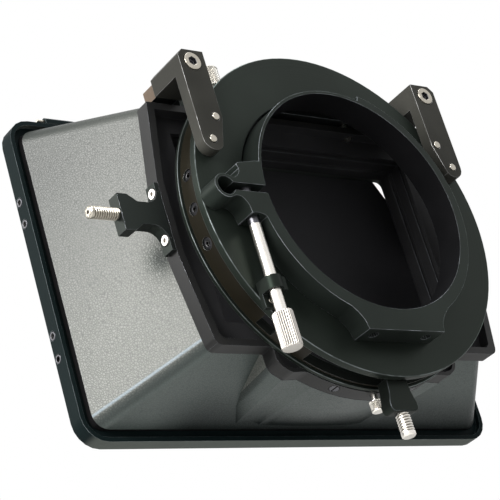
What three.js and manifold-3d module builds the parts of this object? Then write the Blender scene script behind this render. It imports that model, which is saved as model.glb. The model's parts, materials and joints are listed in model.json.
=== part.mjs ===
// A matte box: a light-shading hood and filter stage that is clamped round the front of a camera lens.
// Units are millimetres. +Z is up, the optical axis runs along Y and the hood opens towards -Y.
// +X is the operator's left. The origin is the centre of the clamp's rear face.
// A depth is a distance forward from that face, so depth d lies at y = -d.
import * as THREE from "three";
import { mergeVertices } from "three/addons/utils/BufferGeometryUtils.js";
import Module from "manifold-3d";

const wasm = await Module();
wasm.setup();

// Clearances and cutting allowances
const seatGap = 0.3;
const boreGap = 0.3;
const overrun = 1;
const weldDistance = 0.0001;

// Facets of a full turn, for large, middle and small round pieces
const largeFacets = 96;
const middleFacets = 24;
const smallFacets = 14;
const footFilletFacets = 6;

// Clamp ring: a thin sleeve over the top, a thicker band round the lower half, a foot and a clamping lug
const lensRadius = 57;
const clampLength = 11.4;
const sleeveWall = 1.5;
const sleeveReach = 3.6;
const bandWall = 5.4;
const bandShiftX = 0.7;
const bandShiftZ = 1;
const bandStartAngle = 108;
const bandEndAngle = 350;
const footHalfWidth = 22.8;
const footShoulder = 24.2;
const footHeight = 10.7;
const footShoulderHeight = 4;
const footFilletReach = 5.8;
const footFilletRise = 5.4;
const footFilletDrop = 3.4;
const footHoleSpacing = 31.8;
const footHoleRadius = 2.4;
const footHoleLength = 6;
const lugReach = 28.7;
const lugHalfHeight = 14.4;
const slitHalfWidth = 1.95;
const keyholeRadius = 4.6;
const keyholeInset = 6.3;

// Clamp screw with its knurled knob and the guide that steadies it
const clampScrewX = 65.5;
const clampScrewDepth = 5.1;
const clampShaftRadius = 2.7;
const clampShaftTop = 9.4;
const knobTop = 58.7;
const knobLength = 17.3;
const knobRadius = 4.7;
const knobToothDepth = 0.3;
const knobTeeth = 36;
const knobBevel = 0.8;
const knobSocketLength = 9;
const guideTop = 42;
const guideHeight = 6.2;
const guideEyeRadius = 4.1;
const guideTailReach = 6.2;
const guideTailHalfDepth = 1.6;
const guideFootWidth = 8.2;
const guideFootHeight = 12.5;
const guideFootThickness = 2.4;
const guideScrewRadius = 1.3;
const guideScrewInset = 2.3;

// Rear disc
const discThickness = 4.1;
const discRadius = 84.7;
const discBoreRadius = 59.4;

// Stage drum: a tube with windows in its wall
const drumOuterRadius = 83;
const drumWall = 4;
const drumLength = 9.8;
const drumRimWidth = 1.1;
const drumWindowStartAngle = -121.5;
const drumWindowEndAngle = -58.5;
const drumSlotStartAngle = -46;
const drumSlotEndAngle = -40;
const setScrewAngles = [12, -0.1, -12.1];
const setScrewRadius = 2.7;
const setScrewLength = 3.1;
const setScrewRecess = 0.5;
const setScrewSocketRadius = 1.5;
const setScrewSocketLength = 1.7;

// Front flange
const flangeRadius = 84.4;
const flangeBoreRadius = 76;
const flangeThickness = 2;

// Lower lug with its accessory stud
const lugPlateThickness = 6.8;
const lugPlateTop = 83.4;
const lugPlateBottom = 99.2;
const lugNeckHalfWidth = 6.1;
const lugFlareHalfWidth = 8.2;
const lugShoulderHeight = 9;
const lugCornerRadius = 2.3;
const lugTongueHalfWidth = 4.4;
const lugTongueThickness = 4;
const lugTongueReach = 6;
const lowerStudRadius = 3.3;
const lowerStudReach = 11.3;
const lowerStudSunk = 8;
const lowerStudShankRadius = 2.3;
const lowerStudPitch = 1.27;

// Housing frame
const housingGap = 0.3;
const housingDepth = 7.7;
const housingFrontWall = 2;
const housingWall = 3.5;
const housingCornerSpace = 13.5;
const housingMidSpace = 20.3;
const housingFlatHalfHeight = 18.5;
const housingTopSpace = 12;
const housingBottomSpace = 14.4;
const housingCornerCut = 2;
const apertureHalfWidth = 72;
const apertureHalfHeight = 48.5;

// Boss under the housing: a curved lip between two bevelled corners
const bossHalfWidth = 54.6;
const bossSideDrop = 6.1;
const bossCornerWidth = 1.7;
const bossCornerHeight = 3;
const bossFlatHalfWidth = 47.9;
const bossFlatDrop = 12.3;
const bossLipRadius = 84.6;
const bossLipHalfWidth = 39.6;
const bossWall = 2;
const bossArcFacets = 10;

// Slotted screws in the lip, and the knurled lock screw under it
const lipScrewAngle = 74;
const lipScrewDepth = 31.8;
const lipScrewRadius = 2.3;
const lipScrewLength = 4.4;
const lipSlotWidth = 0.7;
const lipSlotDepth = 0.8;
const lockScrewX = 1.6;
const lockScrewDepth = 30.8;
const lockHeadRadius = 3.3;
const lockHeadTop = 87.2;
const lockHeadLength = 5.6;
const lockShankRadius = 1.6;
const lockShankTop = 77;
const lockTeeth = 20;
const lockToothDepth = 0.25;
const lockBevel = 0.5;

// Top bar on its two feet, held down by two knurled thumb screws
const barEndSpace = 6;
const barFootHeight = 4;
const barHeight = 7.1;
const barStartDepth = 28.7;
const barWidth = 9.3;
const barFootInner = 56;
const barFootOuter = 66;
const barScrewX = 39;
const barHeadRadius = 5;
const barNeckLength = 4.4;
const barHeadLength = 11.4;
const barNeckRadius = 3.1;
const barShankRadius = 2;
const barShankLength = 14.5;
const barTeeth = 26;
const barToothDepth = 0.3;
const barBevel = 0.8;

// Retaining arms: each is an L, one leg behind the disc and one running forward to the top bar
const armStartDepth = 5.4;
const armInnerX = 64.9;
const armOuterX = 79.8;
const armTopStep = 3.6;
const armLegDepth = 6;
const armBeamHeight = 11.9;
const armTipX = 74;
const armTipDrop = 47.6;
const armTipRadius = 5.8;
const armBendDrop = 35.8;
const armCornerCut = 3;
const armScrewX = 72.5;
const armScrewDrop = 6.3;
const armScrewHeadRadius = 4.5;
const armScrewHeadLength = 3.6;
const armScrewProud = 0.5;
const armScrewShankRadius = 2.2;
const armScrewReach = 6;
const armScrewSocketRadius = 2.4;
const armScrewSocketLength = 2.2;
const armPinRadius = 1.9;
const armPinProud = 0.5;
const armPinLength = 5.4;
const armUpperPinX = 68.6;
const armUpperPinDrop = 35.3;

// Side bracket with its accessory stud
const bracketThickness = 6.6;
const bracketWingHalfHeight = 17;
const bracketWingThickness = 2;
const bracketRaise = 0.65;
const bracketNeckHalfHeight = 5.6;
const bracketNeckLength = 11.7;
const bracketFilletRadius = 6.7;
const bracketShoulderLength = 4.9;
const bracketBlockLength = 5.2;
const bracketBlockHalfHeight = 9;
const bracketScrewSpacing = 23.3;
const bracketScrewInset = 2.7;
const bracketScrewHeadRadius = 2.45;
const bracketScrewHeadLength = 1.6;
const bracketScrewSunk = 1.2;
const bracketScrewShankRadius = 1.3;
const bracketScrewSocketRadius = 1.1;
const bracketScrewSocketLength = 1.2;
const sideStudRadius = 2.65;
const sideStudReach = 15.2;
const sideStudSunk = 8;
const sideStudShankRadius = 1.9;
const sideStudPitch = 1;
const studSocketRadius = 1.5;
const studSocketLength = 2.5;

// Guides and sliding filter trays
const trayThickness = 6;
const trayFirstDepth = 38.6;
const traySpacing = 8.2;
const trayCount = 2;
const traySideSpace = 5.3;
const trayTopSpace = 9.5;
const trayBottomSpace = 5.5;
const trayOpeningSpace = 1.6;
const trayOpeningLip = 0.2;
const trayTabHalfWidth = 15;
const trayTabHeight = 14;
const trayTabThickness = 2.4;
const guideSpace = 2.4;
const guideWidth = 5.2;
const guideTopSpace = 8;
const guideBottomSpace = 8.1;
const guideEndWall = 1.7;
const trayPlay = 0.3;

// Hood shell
const hoodRearWidthSpace = 12.2;
const hoodRearHeightSpace = 14;
const hoodRearRaise = 1.4;
const hoodRearCorner = 7;
const hoodRimSpaceX = 4.3;
const hoodRimSpaceZ = 5;
const hoodFrontCorner = 7.5;
const hoodWall = 2;
const hoodCornerFacets = 5;
const hoodSlotSpace = 6.6;
const hoodSlotRim = 0.9;
const hoodBossEndHalfWidth = 47.3;
const hoodBossEndRise = 1.9;
const hoodBossEndInset = 2.3;

// Front rim
const rimEndDepth = 92.4;
const rimLength = 8.1;
const rimHalfWidth = 123;
const rimHalfHeight = 82.2;
const rimCorner = 12;
const rimRecessWall = 2.2;
const rimShelfThickness = 5.3;
const rimLedgeWidth = 6.4;
const rimLedgeHeight = 7.8;
const rimOpeningCorner = 3.6;
const insertHeights = [39.9, 28.6, -28.6, -39.9];
const insertNames = ["top", "upper", "lower", "bottom"];
const insertInset = 2.6;
const insertRadius = 2.1;
const insertBoreRadius = 1.3;
const insertLength = 4.2;

// Top flag: a folding shade, shut over the hood's opening, on a hinge along the rim's top
const flagSideInset = 2.5;
const flagBottomInset = 1.7;
const flagThickness = 1.5;
const flagShoulderDrop = 24.6;
const flagCornerCut = 8;
const flagTopInset = 14.1;
const flagStripThickness = 1.4;
const flagBarrelRadius = 1.75;
const flagPinRadius = 0.8;
const flagPinReach = 4;
const flagHingeInset = 1.9;
const flagHingeHeight = 2;
const hingeBlockInset = 5.9;
const hingeBlockWidth = 16.5;
const hingeBlockLength = 4.6;
const hingeBlockHeight = 3.4;
const hingeBlockBevel = 0.8;

// Widths and heights that follow from the sizes above
const housingCornerHalfWidth = apertureHalfWidth + housingCornerSpace;
const housingMidHalfWidth = apertureHalfWidth + housingMidSpace;
const housingTop = apertureHalfHeight + housingTopSpace;
const housingBottom = apertureHalfHeight + housingBottomSpace;
const bossSideBottom = housingBottom + bossSideDrop;
const bossFlatBottom = housingBottom + bossFlatDrop;
const barHalfLength = apertureHalfWidth + barEndSpace;
const barBottom = housingTop + barFootHeight;
const barTop = barBottom + barHeight;
const barHeadBottom = barTop + barNeckLength;
const armTop = barTop + armTopStep;
const armBeamBottom = armTop - armBeamHeight;
const armTipZ = armTop - armTipDrop;
const armBendZ = armTop - armBendDrop;
const armScrewZ = armTop - armScrewDrop;
const armPinPlaces = [
  ["upper", armUpperPinX, armTop - armUpperPinDrop],
  ["lower", armTipX, armTipZ],
];
const trayHalfWidth = apertureHalfWidth + traySideSpace;
const trayOpeningHalfWidth = apertureHalfWidth + trayOpeningSpace;
const trayOpeningHalfHeight = apertureHalfHeight - trayOpeningLip;
const trayTop = apertureHalfHeight + trayTopSpace;
const trayBottom = apertureHalfHeight + trayBottomSpace;
const guideRailTop = apertureHalfHeight + guideTopSpace;
const guideRailBottom = apertureHalfHeight + guideBottomSpace;
const guideInnerX = apertureHalfWidth + guideSpace;
const guideOuterX = guideInnerX + guideWidth;
const hoodRearHalfWidth = apertureHalfWidth + hoodRearWidthSpace;
const hoodRearHalfHeight = apertureHalfHeight + hoodRearHeightSpace;
const hoodSlotHalfWidth = apertureHalfWidth + hoodSlotSpace;
const hoodFrontHalfWidth = rimHalfWidth - hoodRimSpaceX;
const hoodFrontHalfHeight = rimHalfHeight - hoodRimSpaceZ;
const hoodBossEndBottom = hoodFrontHalfHeight - hoodBossEndRise;
const rimOpeningHalfWidth = rimHalfWidth - rimLedgeWidth;
const rimOpeningHalfHeight = rimHalfHeight - rimLedgeHeight;
const flagHalfWidth = rimHalfWidth - flagSideInset;
const flagBottom = rimHalfHeight - flagBottomInset;
const flagTopHalfWidth = flagHalfWidth - flagTopInset;
const flagShoulderZ = rimHalfHeight - flagShoulderDrop;
const hingeBlockOuter = flagTopHalfWidth - hingeBlockInset;
const hingeBlockInner = hingeBlockOuter - hingeBlockWidth;
const bracketStartX = housingMidHalfWidth + seatGap;
const bracketWingX = bracketStartX + bracketWingThickness;
const bracketNeckEnd = bracketWingX + bracketNeckLength;
const bracketBlockStart = bracketNeckEnd + bracketShoulderLength;
const bracketBlockEnd = bracketBlockStart + bracketBlockLength;
const bracketHeadSeat = bracketWingX - bracketScrewSunk;
const bracketScrewZ = (side) => bracketRaise + (side * bracketScrewSpacing) / 2;

// Depths that follow from the sizes above
const discDepth = clampLength + seatGap;
const discFrontDepth = discDepth + discThickness;
const drumDepth = discFrontDepth + seatGap;
const drumFrontDepth = drumDepth + drumLength;
const flangeDepth = drumFrontDepth + seatGap;
const flangeFrontDepth = flangeDepth + flangeThickness;
const housingStartDepth = flangeFrontDepth + housingGap;
const housingEndDepth = housingStartDepth + housingDepth;
const bracketMidDepth = housingStartDepth + bracketThickness / 2;
const bracketScrewDepth = housingStartDepth + bracketScrewInset;
const hoodStartDepth = housingEndDepth + seatGap;
const barEndDepth = barStartDepth + barWidth;
const barMidDepth = barStartDepth + barWidth / 2;
const bandRadius = lensRadius + bandWall;
const footBottom = lensRadius + footHeight;
const lastTrayDepth = trayFirstDepth + traySpacing * (trayCount - 1);
const trayEndDepth = lastTrayDepth + trayThickness;
const rimStartDepth = rimEndDepth - rimLength;
const rimShelfDepth = rimEndDepth - rimShelfThickness;
const hoodFrontDepth = rimShelfDepth - seatGap;
const hoodBossEndDepth = hoodFrontDepth - hoodBossEndInset;
const insertDepth = rimEndDepth - insertInset;
const flagHingeDepth = rimStartDepth + flagHingeInset;

// Finishes
const finish = (color, roughness, metalness) =>
  new THREE.MeshStandardMaterial({ color, roughness, metalness });
const blackAnodised = finish(0x161a19, 0.45, 0.6);
const brownAnodised = finish(0x2a231d, 0.5, 0.6);
const bareSteel = finish(0xb9b6ae, 0.3, 1);
const plainBar = finish(0x8c7a66, 0.5, 0.6);
const grainedShell = finish(0x5d6a69, 0.6, 0);
const rimPaint = finish(0x24302f, 0.5, 0.2);

const matteBox = new THREE.Group();

const degrees = (angle) => THREE.MathUtils.degToRad(angle);

// Joins coincident vertices of a geometry and reads it as a solid.
function solidOf(geometry) {
  const bare = geometry.clone();
  bare.deleteAttribute("normal");
  bare.deleteAttribute("uv");
  const merged = mergeVertices(bare, weldDistance);
  return new wasm.Manifold(
    new wasm.Mesh({
      numProp: 3,
      vertProperties: merged.attributes.position.array,
      triVerts: new Uint32Array(merged.index.array),
    }),
  );
}

// Turns a solid back into a named mesh of the matte box.
function addPiece(name, solid, material) {
  const { vertProperties, triVerts } = solid.getMesh();
  const geometry = new THREE.BufferGeometry();
  geometry.setAttribute("position", new THREE.BufferAttribute(vertProperties, 3));
  geometry.setIndex(new THREE.BufferAttribute(triVerts, 1));
  geometry.computeVertexNormals();
  const mesh = new THREE.Mesh(geometry, material);
  mesh.name = name;
  matteBox.add(mesh);
  return mesh;
}

const joined = (first, ...others) => others.reduce((sum, other) => sum.add(other), first);
const cutBy = (first, ...others) => others.reduce((rest, other) => rest.subtract(other), first);

// An outline drawn in x and z, run forward from one depth to another. A full circle is two
// half-turn curves, so each of them gets half of the facets.
function plate(outline, fromDepth, toDepth, facets = largeFacets) {
  const geometry = new THREE.ExtrudeGeometry(outline, {
    depth: toDepth - fromDepth,
    bevelEnabled: false,
    curveSegments: Math.ceil(facets / 2),
  });
  geometry.rotateX(Math.PI / 2);
  geometry.translate(0, -fromDepth, 0);
  return solidOf(geometry);
}

// An outline drawn in x and y, run up from one height to another.
function slab(outline, low, high) {
  const geometry = new THREE.ExtrudeGeometry(outline, { depth: high - low, bevelEnabled: false });
  geometry.translate(0, 0, low);
  return solidOf(geometry);
}

function polygon(points) {
  return new THREE.Shape(points.map(([x, z]) => new THREE.Vector2(x, z)));
}

function circleOutline(radius, x = 0, z = 0) {
  const outline = new THREE.Shape();
  outline.absarc(x, z, radius, 0, 2 * Math.PI);
  return outline;
}

// A box between two opposite corners, given as x, depth and z.
function block([x0, d0, z0], [x1, d1, z1]) {
  const geometry = new THREE.BoxGeometry(x1 - x0, d1 - d0, z1 - z0);
  geometry.translate((x0 + x1) / 2, -(d0 + d1) / 2, (z0 + z1) / 2);
  return solidOf(geometry);
}

// A round piece on the optical axis, from one depth to another.
const axialDisc = (radius, fromDepth, toDepth) =>
  plate(circleOutline(radius), fromDepth, toDepth, largeFacets);

// A piece turned about its own Z axis from radius and height pairs, starting and ending on the axis.
function turned(profile, facets, phase = 0) {
  const points = profile.map(([radius, height]) => new THREE.Vector2(radius, height));
  const geometry = new THREE.LatheGeometry(points, facets, phase);
  geometry.rotateX(Math.PI / 2);
  return solidOf(geometry);
}

// A straight rod along Z from one height to another.
const rod = (radius, low, high, facets = smallFacets) =>
  turned([[0, low], [radius, low], [radius, high], [0, high]], facets);

// Turns a solid made along Z so that it lies along another direction, and moves it there.
function placed(solid, direction, x, depth, z) {
  const spin = new THREE.Quaternion().setFromUnitVectors(
    new THREE.Vector3(0, 0, 1),
    new THREE.Vector3(...direction).normalize(),
  );
  const matrix = new THREE.Matrix4().makeRotationFromQuaternion(spin);
  matrix.setPosition(x, -depth, z);
  return solid.transform(matrix.elements);
}

const alongX = [1, 0, 0];
const alongZ = [0, 0, 1];
const backward = [0, 1, 0];

// A hexagonal prism along Z, for the sockets of the screws.
const hexagon = (radius, low, high) => rod(radius, low, high, 6);

// A knurled head along Z: a toothed prism with both ends bevelled.
function knurledHead(radius, low, high, teeth, toothDepth, bevel) {
  const outline = new THREE.Shape();
  for (let i = 0; i < 2 * teeth; i++) {
    const reach = i % 2 ? radius - toothDepth : radius;
    const angle = (Math.PI * i) / teeth;
    outline[i ? "lineTo" : "moveTo"](reach * Math.cos(angle), reach * Math.sin(angle));
  }
  const geometry = new THREE.ExtrudeGeometry(outline, { depth: high - low, bevelEnabled: false });
  geometry.translate(0, 0, low);
  const wide = bevel + toothDepth;
  const bevelled = [
    [0, low],
    [radius - bevel, low],
    [radius + toothDepth, low + wide],
    [radius + toothDepth, high - wide],
    [radius - bevel, high],
    [0, high],
  ];
  return solidOf(geometry).intersect(turned(bevelled, 2 * teeth, Math.PI / teeth / 4));
}

// A threaded stud along Z: a plain shank below height zero, and grooves one pitch apart above it.
function threadedStud(radius, shankRadius, sunk, reach, pitch) {
  const root = radius - pitch / 2;
  const profile = [[0, -sunk], [shankRadius, -sunk], [shankRadius, seatGap]];
  const turns = Math.floor((reach - seatGap) / pitch) - 1;
  for (let i = 0; i < turns; i++) {
    const height = seatGap + i * pitch;
    profile.push([radius, height], [root, height + pitch / 2]);
  }
  profile.push([radius, seatGap + turns * pitch]);
  profile.push([radius, reach - pitch / 2], [root, reach], [0, reach]);
  return turned(profile, smallFacets);
}

// A solid between two closed rings of points with the same count, each star-shaped about its middle.
function loft(rearRing, frontRing) {
  const count = rearRing.length;
  const middle = (ring) =>
    ring.reduce((sum, point) => sum.add(point), new THREE.Vector3()).divideScalar(count);
  const points = [...rearRing, ...frontRing, middle(rearRing), middle(frontRing)];
  const faces = [];
  for (let i = 0; i < count; i++) {
    const next = (i + 1) % count;
    faces.push(i, next, count + i);
    faces.push(next, count + next, count + i);
    faces.push(next, i, 2 * count);
    faces.push(count + i, count + next, 2 * count + 1);
  }
  const geometry = new THREE.BufferGeometry().setFromPoints(points);
  geometry.setIndex(faces);
  return solidOf(geometry);
}

// A ring of points round a rectangle with round corners, at one depth.
function roundedRing(halfWidth, halfHeight, corner, depth) {
  const ring = [];
  for (let quarter = 0; quarter < 4; quarter++) {
    const sideX = quarter === 0 || quarter === 3 ? 1 : -1;
    const sideZ = quarter < 2 ? 1 : -1;
    for (let step = 0; step <= hoodCornerFacets; step++) {
      const angle = (Math.PI / 2) * (quarter + step / hoodCornerFacets);
      const x = sideX * (halfWidth - corner) + corner * Math.cos(angle);
      const z = sideZ * (halfHeight - corner) + corner * Math.sin(angle);
      ring.push(new THREE.Vector3(x, -depth, z));
    }
  }
  return ring;
}

const roundedBlock = (halfWidth, halfHeight, corner, fromDepth, toDepth) =>
  loft(
    roundedRing(halfWidth, halfHeight, corner, fromDepth),
    roundedRing(halfWidth, halfHeight, corner, toDepth),
  );

// A point at an angle about the optical axis, as x and z.
const polar = (radius, angle) => [
  radius * Math.cos(degrees(angle)),
  radius * Math.sin(degrees(angle)),
];

// A wedge between two angles about an axis along Y, given in degrees.
function sector(x, z, radius, fromAngle, toAngle, fromDepth, toDepth) {
  const [startX, startZ] = polar(radius, fromAngle);
  const outline = new THREE.Shape();
  outline.moveTo(x, z);
  outline.lineTo(x + startX, z + startZ);
  outline.absarc(x, z, radius, degrees(fromAngle), degrees(toAngle));
  const facets = Math.ceil((largeFacets * (toAngle - fromAngle)) / 360);
  return plate(outline, fromDepth, toDepth, facets);
}

// Clamp ring

const lugEdgeShares = [
  [0.418, 0.875],
  [0.474, 0.799],
  [0.446, 0.639],
  [0.481, 0.465],
  [0.585, 0.312],
  [0.704, 0.389],
  [0.815, 0.413],
  [0.927, 0.299],
  [0.993, 0.076],
  [0.976, -0.181],
  [0.885, -0.368],
  [0.767, -0.41],
  [0.641, -0.319],
  [0.537, -0.375],
  [0.46, -0.583],
  [0.436, -0.833],
  [0.432, -0.896],
  [0.345, -0.868],
  [0.23, -0.903],
  [0.139, -1.021],
];

function makeClampRing() {
  const sleeve = axialDisc(lensRadius + sleeveWall, 0, clampLength + sleeveReach);

  const band = sector(bandShiftX, -bandShiftZ, bandRadius, bandStartAngle, bandEndAngle, 0, clampLength);

  const shoulder = lensRadius + footShoulderHeight;
  const footSide = (side) => {
    const drop = footFilletDrop / (footHeight - footShoulderHeight);
    const filletX = footShoulder + footFilletReach;
    const sideX = footShoulder + (footHalfWidth - footShoulder) * drop;
    const curve = new THREE.QuadraticBezierCurve(
      new THREE.Vector2(side * filletX, footFilletRise - shoulder),
      new THREE.Vector2(side * footShoulder, -shoulder),
      new THREE.Vector2(side * sideX, -shoulder - footFilletDrop),
    );
    const corner = new THREE.Vector2(side * footHalfWidth, -footBottom);
    const root = new THREE.Vector2(side * filletX, -lensRadius / 2);
    return [root, ...curve.getPoints(footFilletFacets), corner];
  };
  const footOutline = new THREE.Shape([...footSide(1), ...footSide(-1).reverse()]);
  const foot = plate(footOutline, 0, clampLength);
  const lugPoint = ([along, across]) =>
    new THREE.Vector2(lensRadius + along * lugReach, across * lugHalfHeight);
  const lugOutline = new THREE.Shape();
  const rootZ = lugHalfHeight;
  lugOutline.moveTo(lensRadius - sleeveWall, -rootZ);
  lugOutline.lineTo(lensRadius - sleeveWall, rootZ);
  lugOutline.lineTo(lensRadius + sleeveWall, rootZ);
  const bend = lugEdgeShares.map(lugPoint);
  lugOutline.lineTo(bend[0].x, bend[0].y);
  lugOutline.splineThru(bend.slice(1));
  const lug = plate(lugOutline, 0, clampLength, 4);

  const keyholeX = lensRadius + lugReach - keyholeInset;
  const bore = axialDisc(lensRadius, -overrun, clampLength + sleeveReach + overrun);
  const slit = block(
    [lensRadius - overrun, -overrun, -slitHalfWidth],
    [keyholeX, clampLength + overrun, slitHalfWidth],
  );
  const sleeveSlit = block(
    [lensRadius - overrun, clampLength - overrun, -slitHalfWidth],
    [lensRadius + sleeveWall + overrun, clampLength + sleeveReach + overrun, slitHalfWidth],
  );
  const keyhole = plate(
    circleOutline(keyholeRadius, keyholeX),
    -overrun,
    clampLength + overrun,
    middleFacets,
  );
  const screwHole = placed(
    rod(clampShaftRadius + boreGap, -lugHalfHeight - bandWall, clampShaftTop + boreGap),
    alongZ, clampScrewX, clampScrewDepth, 0,
  );
  const footHoles = [-1, 1].map((side) =>
    placed(
      rod(footHoleRadius, -footBottom - overrun, -footBottom + footHoleLength),
      alongZ, (side * footHoleSpacing) / 2, clampLength / 2, 0,
    ),
  );
  const body = joined(sleeve, band, foot, lug);
  return cutBy(body, bore, slit, sleeveSlit, keyhole, screwHole, ...footHoles);
}

addPiece("clamp_ring", makeClampRing(), blackAnodised);

// Clamp screw, knob and guide

const knobBottom = -knobTop - knobLength;
const shaftBottom = -knobTop - knobSocketLength + seatGap;
addPiece(
  "clamp_screw",
  placed(rod(clampShaftRadius, shaftBottom, clampShaftTop), alongZ, clampScrewX, clampScrewDepth, 0),
  bareSteel,
);

const knobBody = knurledHead(
  knobRadius, knobBottom, -knobTop, knobTeeth, knobToothDepth, knobBevel,
);
const knobSocket = rod(clampShaftRadius + boreGap, -knobTop - knobSocketLength, -knobTop + overrun);
addPiece(
  "clamp_knob",
  placed(cutBy(knobBody, knobSocket), alongZ, clampScrewX, clampScrewDepth, 0),
  bareSteel,
);

function makeScrewGuide() {
  const low = -guideTop - guideHeight;
  const eye = placed(
    rod(guideEyeRadius, low, -guideTop, middleFacets), alongZ, clampScrewX, clampScrewDepth, 0,
  );
  const tail = block(
    [clampScrewX - guideTailReach, clampScrewDepth - guideTailHalfDepth, low],
    [clampScrewX, clampScrewDepth + guideTailHalfDepth, -guideTop],
  );
  const stem = slab(
    polygon([
      [clampScrewX - guideEyeRadius, -clampScrewDepth],
      [clampScrewX - guideFootWidth / 2, guideFootThickness - clampLength],
      [clampScrewX - guideFootWidth / 2, -clampLength],
      [clampScrewX + guideFootWidth / 2, -clampLength],
      [clampScrewX + guideFootWidth / 2, guideFootThickness - clampLength],
      [clampScrewX + guideEyeRadius, -clampScrewDepth],
    ]),
    low,
    -guideTop,
  );
  const foot = block(
    [clampScrewX - guideFootWidth / 2, clampLength - guideFootThickness, -guideTop - guideFootHeight],
    [clampScrewX + guideFootWidth / 2, clampLength, -guideTop],
  );
  const bore = placed(
    rod(clampShaftRadius + boreGap, low - overrun, -guideTop + overrun),
    alongZ, clampScrewX, clampScrewDepth, 0,
  );
  const footHole = guideScrewHole(guideScrewRadius + boreGap, overrun);
  return cutBy(joined(eye, tail, stem, foot), bore, footHole);
}

// The small screw that holds the guide's foot on the disc.
function guideScrewHole(radius, extra) {
  const length = guideFootThickness + extra;
  return placed(
    rod(radius, -length, extra), backward,
    clampScrewX,
    clampLength - guideFootThickness,
    -guideTop - guideFootHeight + guideScrewInset + guideScrewRadius,
  );
}

addPiece("screw_guide", makeScrewGuide(), blackAnodised);
addPiece("guide_screw", guideScrewHole(guideScrewRadius, 0), bareSteel);

// Rear disc

const rearDisc = cutBy(
  axialDisc(discRadius, discDepth, discFrontDepth),
  axialDisc(discBoreRadius, discDepth - overrun, discFrontDepth + overrun),
);
addPiece("rear_disc", rearDisc, blackAnodised);

// Stage drum and its set screws

const drumMidDepth = (drumDepth + drumFrontDepth) / 2;
const setScrewSeat = drumOuterRadius - setScrewRecess;

function makeDrum() {
  const tube = cutBy(
    axialDisc(drumOuterRadius, drumDepth, drumFrontDepth),
    axialDisc(drumOuterRadius - drumWall, drumDepth - overrun, drumFrontDepth + overrun),
  );
  const windows = [
    [drumWindowStartAngle, drumWindowEndAngle],
    [drumSlotStartAngle, drumSlotEndAngle],
    [-180 - drumSlotEndAngle, -180 - drumSlotStartAngle],
  ].map(([from, to]) =>
    sector(0, 0, drumOuterRadius * 2, from, to, drumDepth + drumRimWidth, drumFrontDepth - drumRimWidth),
  );
  const holes = setScrewAngles.map((angle) => {
    const [x, z] = polar(1, angle);
    const hole = rod(
      setScrewRadius + boreGap,
      drumOuterRadius - drumWall - overrun,
      drumOuterRadius + overrun,
    );
    return placed(hole, [x, 0, z], 0, drumMidDepth, 0);
  });
  return cutBy(tube, ...windows, ...holes);
}

addPiece("stage_drum", makeDrum(), brownAnodised);

["upper", "middle", "lower"].forEach((place, i) => {
  const [x, z] = polar(1, setScrewAngles[i]);
  const body = rod(setScrewRadius, setScrewSeat - setScrewLength, setScrewSeat);
  const socket = hexagon(setScrewSocketRadius, setScrewSeat - setScrewSocketLength, setScrewSeat + overrun);
  const screw = placed(cutBy(body, socket), [x, 0, z], 0, drumMidDepth, 0);
  addPiece("drum_set_screw_" + place, screw, blackAnodised);
});

// Front flange

const frontFlange = cutBy(
  axialDisc(flangeRadius, flangeDepth, flangeFrontDepth),
  axialDisc(flangeBoreRadius, flangeDepth - overrun, flangeFrontDepth + overrun),
);
addPiece("front_flange", frontFlange, blackAnodised);

// Lower lug: a flared plate in front of the disc, keyed into the drum's window

const lugPlateDepth = discFrontDepth + seatGap;
const lugMidDepth = lugPlateDepth + lugPlateThickness / 2;

function makeLowerLug() {
  const outline = new THREE.Shape();
  const flareTop = -lugPlateBottom + lugShoulderHeight;
  const flareLow = flareTop - lugShoulderHeight / 2;
  outline.moveTo(-lugNeckHalfWidth, -lugPlateTop);
  outline.quadraticCurveTo(-lugNeckHalfWidth, flareTop, -lugFlareHalfWidth, flareLow);
  const cornerX = lugFlareHalfWidth - lugCornerRadius;
  const cornerZ = -lugPlateBottom + lugCornerRadius;
  outline.lineTo(-lugFlareHalfWidth, cornerZ);
  outline.absarc(-cornerX, cornerZ, lugCornerRadius, Math.PI, Math.PI * 1.5);
  outline.lineTo(cornerX, -lugPlateBottom);
  outline.absarc(cornerX, cornerZ, lugCornerRadius, -Math.PI / 2, 0);
  outline.lineTo(lugFlareHalfWidth, flareLow);
  outline.quadraticCurveTo(lugNeckHalfWidth, flareTop, lugNeckHalfWidth, -lugPlateTop);
  const body = plate(outline, lugPlateDepth, lugPlateDepth + lugPlateThickness, smallFacets / 2);
  const tongue = block(
    [-lugTongueHalfWidth, lugMidDepth - lugTongueThickness / 2, -lugPlateTop - overrun],
    [lugTongueHalfWidth, lugMidDepth + lugTongueThickness / 2, -lugPlateTop + lugTongueReach],
  );
  const hole = placed(
    rod(lowerStudShankRadius + boreGap, -lugPlateBottom - overrun, -lugPlateBottom + lowerStudSunk),
    alongZ, 0, lugMidDepth, 0,
  );
  return cutBy(joined(body, tongue), hole);
}

addPiece("lower_lug", makeLowerLug(), blackAnodised);

addPiece(
  "lower_stud",
  placed(
    threadedStud(
      lowerStudRadius, lowerStudShankRadius, lowerStudSunk - seatGap, lowerStudReach, lowerStudPitch,
    ),
    [0, 0, -1], 0, lugMidDepth, -lugPlateBottom,
  ),
  bareSteel,
);

// Housing frame

// The housing's outline, drawn in from its outside by an inset.
function housingOutline(inset) {
  const corner = housingCornerHalfWidth - inset;
  const middle = housingMidHalfWidth - inset;
  const top = housingTop - inset;
  const bottom = -housingBottom + inset;
  const right = [
    [corner, top],
    [middle, housingFlatHalfHeight],
    [middle, -housingFlatHalfHeight],
    [corner, bottom + housingCornerCut],
    [corner - housingCornerCut, bottom],
  ];
  const left = right.map(([x, z]) => [-x, z]).reverse();
  return [...right, ...left];
}

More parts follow.
